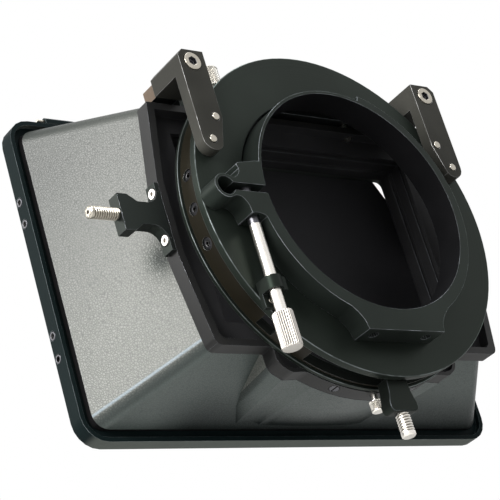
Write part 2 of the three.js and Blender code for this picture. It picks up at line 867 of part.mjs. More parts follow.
// The boss under the housing, from the middle of the frame down to its curved lip.
function bossOutline(inset) {
  const side = bossHalfWidth - inset;
  const lip = bossLipRadius - inset;
  const right = [
    [side, -housingBottom + housingWall * 2 + inset],
    [side, -bossSideBottom],
    [side - bossCornerWidth, -bossSideBottom - bossCornerHeight],
    [bossFlatHalfWidth - inset, -bossFlatBottom + inset],
  ];
  const endAngle = Math.acos(bossLipHalfWidth / lip);
  const arc = [];
  for (let i = 0; i <= bossArcFacets; i++) {
    const angle = -endAngle - ((Math.PI - 2 * endAngle) * i) / bossArcFacets;
    arc.push([lip * Math.cos(angle), lip * Math.sin(angle)]);
  }
  const left = right.map(([x, z]) => [-x, z]).reverse();
  return [...right, ...arc, ...left];
}

const lipBandMiddle = bossLipRadius - bossWall / 2;

function lipScrewDirection(side) {
  const [x, z] = polar(1, -90 + side * (90 - lipScrewAngle));
  return [x, 0, z];
}

function makeHousing() {
  const floorDepth = housingEndDepth - housingFrontWall;
  const outer = joined(
    plate(polygon(housingOutline(0)), housingStartDepth, housingEndDepth),
    plate(polygon(bossOutline(0)), housingStartDepth, housingEndDepth),
  );
  const pocket = joined(
    plate(polygon(housingOutline(housingWall)), housingStartDepth - overrun, floorDepth),
    plate(polygon(bossOutline(bossWall)), housingStartDepth - overrun, floorDepth),
  );
  const aperture = block(
    [-apertureHalfWidth, housingStartDepth, -apertureHalfHeight],
    [apertureHalfWidth, housingEndDepth + overrun, apertureHalfHeight],
  );
  const lipHoles = [-1, 1].map((side) =>
    placed(
      rod(lipScrewRadius + boreGap, lipBandMiddle - bossWall, bossLipRadius + overrun),
      lipScrewDirection(side), 0, lipScrewDepth, 0,
    ),
  );
  const lockHole = placed(
    rod(lockShankRadius + boreGap, -bossLipRadius - overrun, -bossLipRadius + bossWall * 2),
    alongZ, lockScrewX, lockScrewDepth, 0,
  );
  const bracketHoles = [-1, 1].map((side) =>
    placed(
      rod(
        bracketScrewShankRadius + boreGap,
        housingMidHalfWidth - housingWall - overrun,
        housingMidHalfWidth + overrun,
      ),
      alongX, 0, bracketScrewDepth, bracketScrewZ(side),
    ),
  );
  const barHoles = [-1, 1].map((side) =>
    placed(
      rod(barShankRadius + boreGap, housingTop - housingWall - overrun, housingTop + overrun),
      alongZ, side * barScrewX, barMidDepth, 0,
    ),
  );
  return cutBy(outer, pocket, aperture, ...lipHoles, lockHole, ...bracketHoles, ...barHoles);
}

addPiece("housing_frame", makeHousing(), blackAnodised);

// Slotted screws in the lip and the knurled lock screw

[["left", 1], ["right", -1]].forEach(([place, side]) => {
  const body = rod(lipScrewRadius, bossLipRadius - lipScrewLength, bossLipRadius);
  const slot = new THREE.BoxGeometry(lipSlotWidth, lipScrewRadius * 3, lipSlotDepth * 2);
  slot.translate(0, 0, bossLipRadius);
  const screw = placed(cutBy(body, solidOf(slot)), lipScrewDirection(side), 0, lipScrewDepth, 0);
  addPiece("lip_screw_" + place, screw, bareSteel);
});

const lockHead = knurledHead(
  lockHeadRadius, -lockHeadTop - lockHeadLength, -lockHeadTop, lockTeeth, lockToothDepth, lockBevel,
);
const lockScrew = joined(lockHead, rod(lockShankRadius, -lockHeadTop - lockBevel, -lockShankTop));
addPiece("lock_screw", placed(lockScrew, alongZ, lockScrewX, lockScrewDepth, 0), bareSteel);

// Top bar and its thumb screws

function makeTopBar() {
  const feet = [-1, 1].map((side) =>
    block(
      [side > 0 ? barFootInner : -barFootOuter, barStartDepth, housingTop + seatGap],
      [side > 0 ? barFootOuter : -barFootInner, housingEndDepth, barBottom + overrun],
    ),
  );
  const beam = block([-barHalfLength, barStartDepth, barBottom], [barHalfLength, barEndDepth, barTop]);
  const thumbHoles = [-1, 1].map((side) =>
    placed(
      rod(barShankRadius + boreGap, barBottom - overrun, barTop + overrun),
      alongZ, side * barScrewX, barMidDepth, 0,
    ),
  );
  const armHoles = [-1, 1].map((side) =>
    placed(
      rod(armScrewShankRadius + boreGap, -barStartDepth - armScrewReach - seatGap, -barStartDepth + overrun),
      backward, side * armScrewX, 0, armScrewZ,
    ),
  );
  return cutBy(joined(beam, ...feet), ...thumbHoles, ...armHoles);
}

addPiece("top_bar", makeTopBar(), plainBar);

[["left", 1], ["right", -1]].forEach(([place, side]) => {
  const head = knurledHead(
    barHeadRadius, barHeadBottom, barHeadBottom + barHeadLength, barTeeth, barToothDepth, barBevel,
  );
  const neck = rod(barNeckRadius, barTop + seatGap, barHeadBottom + barBevel);
  const shank = rod(barShankRadius, barTop - barShankLength, barTop + seatGap * 2);
  const screw = placed(joined(head, neck, shank), alongZ, side * barScrewX, barMidDepth, 0);
  addPiece("bar_thumb_screw_" + place, screw, bareSteel);
});

// Retaining arms with their cap screws and pins

const armLegEnd = armStartDepth + armLegDepth;
const armBeamEnd = barStartDepth - seatGap;
const armScrewHeadSeat = armStartDepth - armScrewProud + armScrewHeadLength;

// The arm's face seen from behind, for the side where X is positive.
function armFace(side) {
  const bend = Math.atan2(armTipZ - armBendZ, armTipX - armInnerX);
  const tipStart = bend - Math.PI / 2;
  const outline = new THREE.Shape();
  outline.moveTo(armInnerX, armTop);
  outline.lineTo(armInnerX, armBendZ);
  outline.absarc(armTipX, armTipZ, armTipRadius, tipStart, 0);
  outline.lineTo(armOuterX, armTipZ + armTipRadius);
  outline.lineTo(armOuterX, armTop - armCornerCut);
  outline.lineTo(armOuterX - armCornerCut, armTop);
  const points = outline.getPoints(smallFacets / 4).map((point) => [side * point.x, point.y]);
  return polygon(side > 0 ? points : points.reverse());
}

function makeArm(side) {
  const leg = plate(armFace(side), armStartDepth, armLegEnd);
  const beamOutline = polygon([
    [side * armInnerX, armTop],
    [side * armInnerX, armBeamBottom],
    [side * armOuterX, armBeamBottom],
    [side * armOuterX, armTop - armCornerCut],
    [side * (armOuterX - armCornerCut), armTop],
  ]);
  const beam = plate(beamOutline, armStartDepth, armBeamEnd);
  const headHole = rod(armScrewHeadRadius + boreGap, -armScrewHeadSeat - seatGap, overrun - armStartDepth);
  const shankHole = rod(armScrewShankRadius + boreGap, -armBeamEnd - overrun, overrun - armStartDepth);
  const screwHoles = [headHole, shankHole].map((hole) =>
    placed(hole, backward, side * armScrewX, 0, armScrewZ),
  );
  const pinHoles = armPinPlaces.map(([, x, z]) => {
    const hole = rod(armPinRadius + boreGap, -armStartDepth - armPinLength, overrun - armStartDepth);
    return placed(hole, backward, side * x, 0, z);
  });
  return cutBy(joined(leg, beam), ...screwHoles, ...pinHoles);
}

function makeArmScrew(side) {
  const faceHeight = armScrewProud - armStartDepth;
  const head = rod(armScrewHeadRadius, -armScrewHeadSeat, faceHeight, middleFacets);
  const shank = rod(armScrewShankRadius, -barStartDepth - armScrewReach, faceHeight);
  const socket = hexagon(armScrewSocketRadius, faceHeight - armScrewSocketLength, faceHeight + overrun);
  return placed(cutBy(joined(head, shank), socket), backward, side * armScrewX, 0, armScrewZ);
}

[["left", 1], ["right", -1]].forEach(([place, side]) => {
  addPiece("arm_" + place, makeArm(side), blackAnodised);
  addPiece("arm_screw_" + place, makeArmScrew(side), bareSteel);
  armPinPlaces.forEach(([level, x, z]) => {
    const outer = armPinProud - armStartDepth;
    const bevel = armPinProud / 2;
    const profile = [
      [0, outer - armPinLength],
      [armPinRadius, outer - armPinLength],
      [armPinRadius, outer - bevel],
      [armPinRadius - bevel, outer],
      [0, outer],
    ];
    const pin = placed(turned(profile, smallFacets), backward, side * x, 0, z);
    addPiece("arm_pin_" + place + "_" + level, pin, bareSteel);
  });
});

// Side bracket, its screws and its stud

function makeBracket() {
  const outline = new THREE.Shape();
  const neckTop = bracketRaise + bracketNeckHalfHeight;
  const neckBottom = bracketRaise - bracketNeckHalfHeight;
  const blockTop = bracketRaise + bracketBlockHalfHeight;
  const blockBottom = bracketRaise - bracketBlockHalfHeight;
  const filletX = bracketWingX + bracketFilletRadius;
  outline.moveTo(bracketStartX, -bracketWingHalfHeight);
  outline.lineTo(bracketWingX, -bracketWingHalfHeight);
  outline.lineTo(bracketWingX, neckBottom - bracketFilletRadius);
  outline.absarc(
    filletX, neckBottom - bracketFilletRadius, bracketFilletRadius, Math.PI, Math.PI / 2, true,
  );
  outline.lineTo(bracketNeckEnd, neckBottom);
  outline.lineTo(bracketBlockStart, blockBottom);
  outline.lineTo(bracketBlockEnd, blockBottom);
  outline.lineTo(bracketBlockEnd, blockTop);
  outline.lineTo(bracketBlockStart, blockTop);
  outline.lineTo(bracketNeckEnd, neckTop);
  outline.absarc(
    filletX, neckTop + bracketFilletRadius, bracketFilletRadius, -Math.PI / 2, Math.PI, true,
  );
  outline.lineTo(bracketWingX, bracketWingHalfHeight);
  outline.lineTo(bracketStartX, bracketWingHalfHeight);
  const body = plate(outline, housingStartDepth, housingStartDepth + bracketThickness, smallFacets);
  const studHole = placed(
    rod(sideStudShankRadius + boreGap, bracketBlockEnd - sideStudSunk, bracketBlockEnd + overrun),
    alongX, 0, bracketMidDepth, bracketRaise,
  );
  const screwHoles = [-1, 1].flatMap((side) => [
    placed(
      rod(bracketScrewShankRadius + boreGap, bracketStartX - overrun, bracketWingX + overrun),
      alongX, 0, bracketScrewDepth, bracketScrewZ(side),
    ),
    placed(
      rod(bracketScrewHeadRadius + boreGap, bracketHeadSeat, bracketWingX + bracketFilletRadius),
      alongX, 0, bracketScrewDepth, bracketScrewZ(side),
    ),
  ]);
  return cutBy(body, studHole, ...screwHoles);
}

addPiece("side_bracket", makeBracket(), blackAnodised);

[["upper", 1], ["lower", -1]].forEach(([place, side]) => {
  const headStart = bracketHeadSeat + seatGap;
  const headEnd = headStart + bracketScrewHeadLength;
  const head = rod(bracketScrewHeadRadius, headStart, headEnd);
  const shank = rod(bracketScrewShankRadius, housingMidHalfWidth - housingWall, headEnd);
  const socket = hexagon(bracketScrewSocketRadius, headEnd - bracketScrewSocketLength, headEnd + overrun);
  const screw = cutBy(joined(head, shank), socket);
  addPiece(
    "bracket_screw_" + place,
    placed(screw, alongX, 0, bracketScrewDepth, bracketScrewZ(side)),
    bareSteel,
  );
});

// A stud that points along +Z from a face at height zero, with a hexagonal socket in its end.
function makeSideStud() {
  const end = sideStudReach - studSocketLength;
  return cutBy(
    threadedStud(
      sideStudRadius, sideStudShankRadius, sideStudSunk - seatGap, sideStudReach, sideStudPitch,
    ),
    hexagon(studSocketRadius, end, sideStudReach + overrun),
  );
}

addPiece(
  "side_stud",
  placed(makeSideStud(), alongX, bracketBlockEnd, bracketMidDepth, bracketRaise),
  bareSteel,
);

// Tray guides and filter trays

const trayDepths = Array.from({ length: trayCount }, (_, i) => trayFirstDepth + i * traySpacing);

function makeTrayGuide(side) {
  const span = (near, far, fromDepth, toDepth, low, high) =>
    block(
      [Math.min(side * near, side * far), fromDepth, low],
      [Math.max(side * near, side * far), toDepth, high],
    );
  const body = span(
    guideInnerX, guideOuterX, hoodStartDepth, trayEndDepth + guideEndWall, -guideRailBottom, guideRailTop,
  );
  const grooves = trayDepths.map((depth) =>
    span(
      guideInnerX - overrun, trayHalfWidth + trayPlay,
      depth - trayPlay, depth + trayThickness + trayPlay,
      -trayBottom - seatGap, guideRailTop + overrun,
    ),
  );
  return cutBy(body, ...grooves);
}

addPiece("tray_guide_left", makeTrayGuide(1), blackAnodised);
addPiece("tray_guide_right", makeTrayGuide(-1), blackAnodised);

["rear", "front"].forEach((place, i) => {
  const depth = trayDepths[i];
  const frame = block([-trayHalfWidth, depth, -trayBottom], [trayHalfWidth, depth + trayThickness, trayTop]);
  const opening = block(
    [-trayOpeningHalfWidth, depth - overrun, -trayOpeningHalfHeight],
    [trayOpeningHalfWidth, depth + trayThickness + overrun, trayOpeningHalfHeight],
  );
  const tabDepth = depth + (trayThickness - trayTabThickness) / 2;
  const tab = block(
    [-trayTabHalfWidth, tabDepth, trayTop - overrun],
    [trayTabHalfWidth, tabDepth + trayTabThickness, trayTop + trayTabHeight],
  );
  addPiece("filter_tray_" + place, joined(cutBy(frame, opening), tab), blackAnodised);
});

// Hood shell

// The hood's section at a depth, drawn in by an inset. Its sides are straight from the housing to the rim,
// and its rear end stands a little higher than the lens.
function hoodRing(depth, inset) {
  const share = (depth - hoodStartDepth) / (hoodFrontDepth - hoodStartDepth);
  const between = (rear, front) => rear + (front - rear) * share;
  const ring = roundedRing(
    between(hoodRearHalfWidth, hoodFrontHalfWidth) - inset,
    between(hoodRearHalfHeight, hoodFrontHalfHeight) - inset,
    between(hoodRearCorner, hoodFrontCorner) - inset / 2,
    depth,
  );
  ring.forEach((point) => {
    point.z += between(hoodRearRaise, 0);
  });
  return ring;
}

// A ring of points round the boss's outline, at one depth.
const bossRing = (inset, depth) =>
  bossOutline(inset).reverse().map(([x, z]) => new THREE.Vector3(x, -depth, z));

// The swelling under the hood, from the housing's boss to a straight line near the rim.
function hoodBoss(inset) {
  const narrowing = hoodBossEndHalfWidth / bossHalfWidth;
  const front = bossRing(inset, hoodBossEndDepth);
  front.forEach((point) => {
    point.x *= narrowing;
    point.z = Math.max(point.z, -hoodBossEndBottom + inset);
  });
  return loft(bossRing(inset, hoodStartDepth), front);
}

function makeHood() {
  const outer = joined(loft(hoodRing(hoodStartDepth, 0), hoodRing(hoodFrontDepth, 0)), hoodBoss(0));
  const inner = joined(
    loft(
      hoodRing(hoodStartDepth - overrun, hoodWall),
      hoodRing(hoodFrontDepth + overrun, hoodWall),
    ),
    hoodBoss(hoodWall),
    hoodBossMouth(),
  );
  const slot = block(
    [-hoodSlotHalfWidth, barEndDepth - hoodSlotRim, 0],
    [hoodSlotHalfWidth, trayEndDepth + hoodSlotRim, hoodFrontHalfHeight * 2],
  );
  return cutBy(outer, inner, slot);
}

// Opens the swelling's rear end, which the housing's boss closes.
function hoodBossMouth() {
  const start = hoodStartDepth - overrun;
  return loft(bossRing(hoodWall, start), bossRing(hoodWall, hoodStartDepth + seatGap));
}

addPiece("hood_shell", makeHood(), grainedShell);

// Front rim and its threaded inserts

function makeRim() {
  const body = roundedBlock(rimHalfWidth, rimHalfHeight, rimCorner, rimStartDepth, rimEndDepth);
  const opening = roundedBlock(
    rimOpeningHalfWidth,
    rimOpeningHalfHeight,
    rimOpeningCorner,
    rimStartDepth - overrun,
    rimEndDepth + overrun,
  );
  const recess = roundedBlock(
    rimHalfWidth - rimRecessWall, rimHalfHeight - rimRecessWall, rimCorner - rimRecessWall,
    rimStartDepth - overrun, rimShelfDepth,
  );
  const insertHoles = [-1, 1].flatMap((side) =>
    insertHeights.map((z) =>
      placed(
        rod(insertRadius + boreGap, rimHalfWidth - insertLength - seatGap, rimHalfWidth + overrun),
        [side, 0, 0], 0, insertDepth, z,
      ),
    ),
  );
  return cutBy(body, opening, recess, ...insertHoles);
}

addPiece("front_rim", makeRim(), rimPaint);

[["left", 1], ["right", -1]].forEach(([place, side]) => {
  insertHeights.forEach((z, i) => {
    const body = rod(insertRadius, rimHalfWidth - insertLength, rimHalfWidth);
    const bore = rod(insertBoreRadius, rimHalfWidth - insertLength - overrun, rimHalfWidth + overrun);
    const insert = placed(cutBy(body, bore), [side, 0, 0], 0, insertDepth, z);
    addPiece("rim_insert_" + place + "_" + insertNames[i], insert, bareSteel);
  });
});

// Hinge blocks, hinge pin and top flag

const hingeZ = rimHalfHeight + flagHingeHeight;
const blockBottom = rimHalfHeight + seatGap;
const blockTop = blockBottom + hingeBlockHeight;

const pinHole = (radius, reach) =>
  placed(rod(radius, -reach, reach), alongX, 0, flagHingeDepth, hingeZ);

[["left", 1], ["right", -1]].forEach(([place, side]) => {
  const near = side > 0 ? hingeBlockInner : -hingeBlockOuter;
  const far = side > 0 ? hingeBlockOuter : -hingeBlockInner;
  const body = block(
    [near, rimStartDepth, blockBottom],
    [far, rimStartDepth + hingeBlockLength, blockTop],
  );
  const bevel = block(
    [near - overrun, -hingeBlockBevel, -hingeBlockBevel],
    [far + overrun, hingeBlockBevel, hingeBlockBevel],
  );
  const tilted = bevel.rotate([45, 0, 0]).translate([0, -rimStartDepth, blockTop]);
  addPiece(
    "flag_hinge_block_" + place,
    cutBy(body, tilted, pinHole(flagPinRadius + boreGap, flagHalfWidth)),
    rimPaint,
  );
});

addPiece("flag_pin", pinHole(flagPinRadius, hingeBlockOuter + flagPinReach), bareSteel);

function makeTopFlag() {
  const panelDepth = rimEndDepth + seatGap;
  const stripTop = hingeZ + flagStripThickness / 2;
  const panel = plate(
    polygon([
      [flagHalfWidth - flagCornerCut, -flagBottom],
      [flagHalfWidth, -flagBottom + flagCornerCut],
      [flagHalfWidth, flagShoulderZ],
      [flagTopHalfWidth, stripTop],
      [-flagTopHalfWidth, stripTop],
      [-flagHalfWidth, flagShoulderZ],
      [-flagHalfWidth, -flagBottom + flagCornerCut],
      [-flagHalfWidth + flagCornerCut, -flagBottom],
    ]),
    panelDepth,
    panelDepth + flagThickness,
  );
  const barrelReach = hingeBlockInner - seatGap;
  const barrel = placed(
    rod(flagBarrelRadius, -barrelReach, barrelReach), alongX, 0, flagHingeDepth, hingeZ,
  );
  const strip = block(
    [-barrelReach, flagHingeDepth, stripTop - flagStripThickness],
    [barrelReach, panelDepth + flagThickness / 2, stripTop],
  );
  return cutBy(joined(panel, strip, barrel), pinHole(flagPinRadius + boreGap, flagHalfWidth));
}

addPiece("top_flag", makeTopFlag(), blackAnodised);

export default matteBox;
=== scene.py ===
# %% [markdown]
# # A matte box, finished for its picture
# A matte box shades a camera lens and holds filters in front of it. This one clamps round the lens,
# its filter stage turns on a drum, and a grained hood flares out to a rim that a top flag folds over.
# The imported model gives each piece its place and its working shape. This script makes a finished
# piece for each of them, with worn edges, knurling, threads and grain, and lights them softly.

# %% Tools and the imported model
import json
import math

import bmesh
import bpy
from mathutils import Matrix, Vector

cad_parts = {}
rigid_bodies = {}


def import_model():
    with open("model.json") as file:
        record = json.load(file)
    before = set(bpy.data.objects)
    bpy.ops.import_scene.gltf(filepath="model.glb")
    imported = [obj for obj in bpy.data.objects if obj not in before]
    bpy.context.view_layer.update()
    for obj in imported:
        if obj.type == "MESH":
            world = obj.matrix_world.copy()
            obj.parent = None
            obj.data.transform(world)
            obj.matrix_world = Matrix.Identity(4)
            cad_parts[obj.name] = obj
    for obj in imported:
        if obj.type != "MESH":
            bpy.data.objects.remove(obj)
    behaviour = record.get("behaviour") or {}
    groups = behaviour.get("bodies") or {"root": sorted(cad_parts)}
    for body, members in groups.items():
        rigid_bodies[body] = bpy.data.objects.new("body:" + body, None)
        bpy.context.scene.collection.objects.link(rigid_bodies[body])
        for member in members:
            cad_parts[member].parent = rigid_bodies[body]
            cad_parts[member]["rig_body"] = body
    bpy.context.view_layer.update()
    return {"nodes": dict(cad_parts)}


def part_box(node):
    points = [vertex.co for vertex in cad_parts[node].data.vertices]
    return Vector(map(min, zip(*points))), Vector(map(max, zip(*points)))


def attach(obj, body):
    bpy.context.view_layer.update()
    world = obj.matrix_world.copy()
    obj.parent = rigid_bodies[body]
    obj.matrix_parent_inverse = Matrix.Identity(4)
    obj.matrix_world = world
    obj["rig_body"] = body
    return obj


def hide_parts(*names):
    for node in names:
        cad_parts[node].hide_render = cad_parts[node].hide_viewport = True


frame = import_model()
nodes = frame["nodes"]
mm = 0.001
print("packed nodes:", len(nodes))

# %% [markdown]
# ## The camera
# The camera stands at the operator's left, behind and below the matte box, and looks up at it with
# a long lens, so the box shows little perspective. A camera could be aimed by hand or by a
# constraint. Here three directions at right angles to each other give its turn: they become the
# columns of its rotation matrix, and so they also hold its slight tilt to one side.

# %% Camera
LENS_LENGTH = 134.32
SENSOR_WIDTH = 36
camera_place = Vector((570.88, 525.61, -358.99)) * mm
camera_right = Vector((-0.77983, 0.56695, -0.26538))
camera_up = Vector((0.05794, 0.48749, 0.87120))
camera_back = camera_right.cross(camera_up).normalized()

camera_data = bpy.data.cameras.new("camera")
camera_data.lens = LENS_LENGTH
camera_data.sensor_width = SENSOR_WIDTH
camera = bpy.data.objects.new("camera", camera_data)
camera_turn = Matrix((camera_right, camera_up, camera_back)).transposed().to_4x4()
camera.matrix_world = Matrix.Translation(camera_place) @ camera_turn
bpy.context.scene.collection.objects.link(camera)
bpy.context.scene.camera = camera
print("camera distance:", round(camera_place.length, 3), "m")

# %% [markdown]
# ## Helpers for node trees
# A shader can be wired by hand in the editor. In a script a few short helpers do the same work: one
# adds a node, one does sums on single values, one joins several masks into one, and one spreads a
# range of values smoothly over another. With them each effect below reads like a recipe.

# %% Helpers for node trees


def add_node(tree, kind, **settings):
    made = tree.nodes.new(kind)
    for name, value in settings.items():
        setattr(made, name, value)
    return made


def plug(tree, value, socket):
    if isinstance(value, (int, float)):
        socket.default_value = value
    else:
        tree.links.new(value, socket)


def maths(tree, operation, first, second=None, clamp=False):
    made = add_node(tree, "ShaderNodeMath", operation=operation, use_clamp=clamp)
    plug(tree, first, made.inputs[0])
    if second is not None:
        plug(tree, second, made.inputs[1])
    return made.outputs[0]


def combine(tree, operation, masks):
    combined = masks[0]
    for mask in masks[1:]:
        combined = maths(tree, operation, combined, mask)
    return combined


def spread(tree, value, low, high, to_low=0.0, to_high=1.0):
    made = add_node(tree, "ShaderNodeMapRange", interpolation_type="SMOOTHSTEP")
    tree.links.new(value, made.inputs["Value"])
    limits = {"From Min": low, "From Max": high, "To Min": to_low, "To Max": to_high}
    for name, limit in limits.items():
        made.inputs[name].default_value = limit
    return made.outputs["Result"]


print("node helpers ready")

# %% [markdown]
# ## The world
# Black metal shows mostly what it reflects. The world is white where the camera, a gloss or a
# see-through surface looks at it, and grey where it only lights. A grey world everywhere would
# leave the gloss dull, and a white one would light the box too flatly. The Light Path node tells
# the kinds of ray apart, so one background can do both.

# %% World
DIFFUSE_WORLD = 0.42
WHITE_WORLD = 1.0

world = bpy.data.worlds.new("studio")
bpy.context.scene.world = world
world.use_nodes = True
world_tree = world.node_tree
world_back = world_tree.nodes["Background"]
world_back.inputs["Color"].default_value = (1, 1, 1, 1)
rays = add_node(world_tree, "ShaderNodeLightPath")
looking_rays = [
    rays.outputs[kind] for kind in ("Is Camera Ray", "Is Glossy Ray", "Is Transmission Ray")
]
looked_at = combine(world_tree, "MAXIMUM", looking_rays)
world_strength = spread(world_tree, looked_at, 0.0, 1.0, DIFFUSE_WORLD, WHITE_WORLD)
world_tree.links.new(world_strength, world_back.inputs["Strength"])
print("world nodes:", len(world_tree.nodes))

# %% [markdown]
# ## The lamps
# Four square area lamps do what soft boxes do in a studio: point lamps would give hard shadows and
# tiny glints. The large key lamp at the left gives the glare on the hood's side. A weak one in front
# on the left draws the bevels there, one above lights the upper edges, and one below keeps the
# underside from turning black. Each is placed by its direction and distance from the middle of the
# box, and turned to look at it.

# %% Lamps
BOX_CENTRE = Vector((0, -45, -10)) * mm
WARM_LIGHT = (1, 0.99, 0.97)
COOL_LIGHT = (0.96, 0.98, 1)
PLAIN_LIGHT = (1, 1, 1)


def add_lamp(name, direction, distance, size, power, colour):
    data = bpy.data.lights.new(name, "AREA")
    data.shape = "SQUARE"
    data.size = size
    data.energy = power
    data.color = colour
    lamp = bpy.data.objects.new(name, data)
    way = Vector(direction).normalized()
    lamp.location = BOX_CENTRE + way * distance
    lamp.rotation_euler = way.to_track_quat("Z", "Y").to_euler()
    bpy.context.scene.collection.objects.link(lamp)
    print("lamp:", name, power, "W")


add_lamp("key", (0.87, 0.28, 0.37), distance=1.3, size=0.75, power=34, colour=WARM_LIGHT)
add_lamp("edge", (0.67, -0.62, 0.42), distance=1.3, size=0.6, power=3.5, colour=WARM_LIGHT)
add_lamp("top", (-0.25, 0.35, 0.9), distance=1.4, size=0.6, power=8, colour=COOL_LIGHT)
add_lamp("low", (0.3, 0.15, -0.94), distance=1.2, size=0.5, power=7, colour=PLAIN_LIGHT)

# %% [markdown]
# ## The floor
# A plain pale floor closes the scene below. The camera looks up, so a floor close under the box
# would stand in its way. It lies lower than the camera instead, and one large square from the grid
# operator is enough, because nothing on it is shaped.

# %% Floor
FLOOR_HEIGHT = -0.46
FLOOR_HALF_WIDTH = 4
FLOOR_COLOUR = (0.82, 0.82, 0.81, 1)
FLOOR_ROUGHNESS = 0.9

floor_mesh = bpy.data.meshes.new("floor")
floor_bm = bmesh.new()
bmesh.ops.create_grid(floor_bm, x_segments=1, y_segments=1, size=FLOOR_HALF_WIDTH)
bmesh.ops.translate(floor_bm, verts=floor_bm.verts, vec=(0, 0, FLOOR_HEIGHT))
floor_bm.to_mesh(floor_mesh)
floor_bm.free()
floor = bpy.data.objects.new("floor", floor_mesh)
bpy.context.scene.collection.objects.link(floor)

floor_material = bpy.data.materials.new("pale floor")
floor_material.use_nodes = True
floor_shader = floor_material.node_tree.nodes["Principled BSDF"]
floor_shader.inputs["Base Color"].default_value = FLOOR_COLOUR
floor_shader.inputs["Roughness"].default_value = FLOOR_ROUGHNESS
floor_mesh.materials.append(floor_material)
print("floor height:", FLOOR_HEIGHT, "m")

# %% [markdown]
# ## Effects that several finishes share
# Each effect is a node group, made once. It reads the piece's own coordinates or its edge mark, and
# puts out a mask or a height between zero and one. A finish then decides what that does, so one
# group can roughen steel and cloud paint, and a change to it reaches every finish.

# %% Helpers for node groups


def new_group(name, inputs, outputs):
    group = bpy.data.node_groups.new(name, "ShaderNodeTree")
    for label, value in inputs.items():
        socket = group.interface.new_socket(label, in_out="INPUT", socket_type="NodeSocketFloat")
        socket.default_value = value
    for label in outputs:
        group.interface.new_socket(label, in_out="OUTPUT", socket_type="NodeSocketFloat")
    source = group.nodes.new("NodeGroupInput")
    sink = group.nodes.new("NodeGroupOutput")
    return group, source, sink


def object_noise(tree, scale, detail, rough):
    place = tree.nodes.new("ShaderNodeTexCoord")
    noise = tree.nodes.new("ShaderNodeTexNoise")
    noise.inputs["Detail"].default_value = detail
    noise.inputs["Roughness"].default_value = rough
    plug(tree, scale, noise.inputs["Scale"])
    tree.links.new(place.outputs["Object"], noise.inputs["Vector"])
    return noise.outputs["Fac"]


def object_parts(tree, output="Object"):
    place = tree.nodes.new("ShaderNodeTexCoord")
    parts = tree.nodes.new("ShaderNodeSeparateXYZ")
    tree.links.new(place.outputs[output], parts.inputs[0])
    return parts.outputs["X"], parts.outputs["Y"], parts.outputs["Z"]


print("group helpers ready")

# %% [markdown]
# ### Worn edges and painted edge highlights
# Anodising and paint rub thin along edges and let light metal through, and the same mask paints a
# thin highlight along every edge. A shader could look for edges by itself with its Bevel or
# Pointiness values, but these are slow or depend on the mesh. Every bevel made below marks the middle
# of its strip in an attribute called edge instead. The group reads that mark and breaks it up with
# noise, so that the wear comes and goes along an edge, while its least value keeps a painted
# highlight on all of it.

# %% Worn edges and painted highlight group
EDGE_MARK = "edge"
EDGE_STRIP_SPAN = (0.1, 0.9)
WEAR_PATCHES = (0.38, 0.62)

edge_wear_and_highlight, wear_and_highlight_in, wear_and_highlight_out = new_group("edge wear and highlight", {"Scale": 60.0, "Least": 0.35}, ["Mask"])
edge_mark = add_node(edge_wear_and_highlight, "ShaderNodeAttribute", attribute_name=EDGE_MARK)
edge_strip = spread(edge_wear_and_highlight, edge_mark.outputs["Fac"], *EDGE_STRIP_SPAN)
wear_noise = object_noise(edge_wear_and_highlight, wear_and_highlight_in.outputs["Scale"], detail=3.0, rough=0.6)
wear_patches = spread(edge_wear_and_highlight, wear_noise, *WEAR_PATCHES)
# the patches are wear; the least value keeps a painted highlight along every edge
wear_and_highlight_part = maths(edge_wear_and_highlight, "MAXIMUM", wear_patches, wear_and_highlight_in.outputs["Least"])
wear_and_highlight_mask = maths(edge_wear_and_highlight, "MULTIPLY", edge_strip, wear_and_highlight_part, clamp=True)
edge_wear_and_highlight.links.new(wear_and_highlight_mask, wear_and_highlight_out.inputs["Mask"])
print("group:", edge_wear_and_highlight.name)

# %% [markdown]
# ### Blasted grain and clouds
# Metal is blasted with fine beads before it is dyed, which leaves an even grain. Over larger
# stretches the shade drifts a little. Two noises of very different scale give both: the fine one is
# a height, and the broad one, the clouds, mixes two shades of a colour.

# %% Blasted grain group
CLOUD_SCALE = 18.0

blasted_grain, grain_in, grain_out = new_group(
    "blasted grain", {"Scale": 1400.0}, ["Height", "Clouds"]
)
grain_fine = object_noise(blasted_grain, grain_in.outputs["Scale"], detail=2.0, rough=0.6)
grain_clouds = object_noise(blasted_grain, CLOUD_SCALE, detail=3.0, rough=0.55)
blasted_grain.links.new(grain_fine, grain_out.inputs["Height"])
blasted_grain.links.new(grain_clouds, grain_out.inputs["Clouds"])
print("group:", blasted_grain.name)

# %% [markdown]
# ### Turning marks
# A lathe leaves fine rings round its axis. The optical axis is Y here, so the distance from it is
# the length of the X and Z coordinates. Noise along that one distance makes uneven rings, where a
# wave would make rings that look drawn.

# %% Turning marks group
turning_marks, turn_in, turn_out = new_group("turning marks", {"Rings": 900.0}, ["Height"])
turn_x, _, turn_z = object_parts(turning_marks)
squares = [maths(turning_marks, "POWER", part, 2.0) for part in (turn_x, turn_z)]
turn_radius = maths(turning_marks, "SQRT", combine(turning_marks, "ADD", squares))
turn_noise = add_node(turning_marks, "ShaderNodeTexNoise", noise_dimensions="1D")
turning_marks.links.new(turn_radius, turn_noise.inputs["W"])
turning_marks.links.new(turn_in.outputs["Rings"], turn_noise.inputs["Scale"])
turning_marks.links.new(turn_noise.outputs["Fac"], turn_out.inputs["Height"])
print("group:", turning_marks.name)

# %% [markdown]
# ### Leather grain
# The hood is moulded with a pebbled skin, like fine leather. The pebbles are far too small to model.
# Voronoi cells give them, the borders of the cells are the creases, and a little noise bends the
# cells so that no two are alike.

# %% Leather grain group
LEATHER_SCALE = 900.0
LEATHER_WARP = 0.6 * mm
WARP_SCALE = 420.0
PEBBLE_SPAN = (0.0, 0.35)
CREASE_SPAN = (0.0, 0.16, 1.0, 0.0)

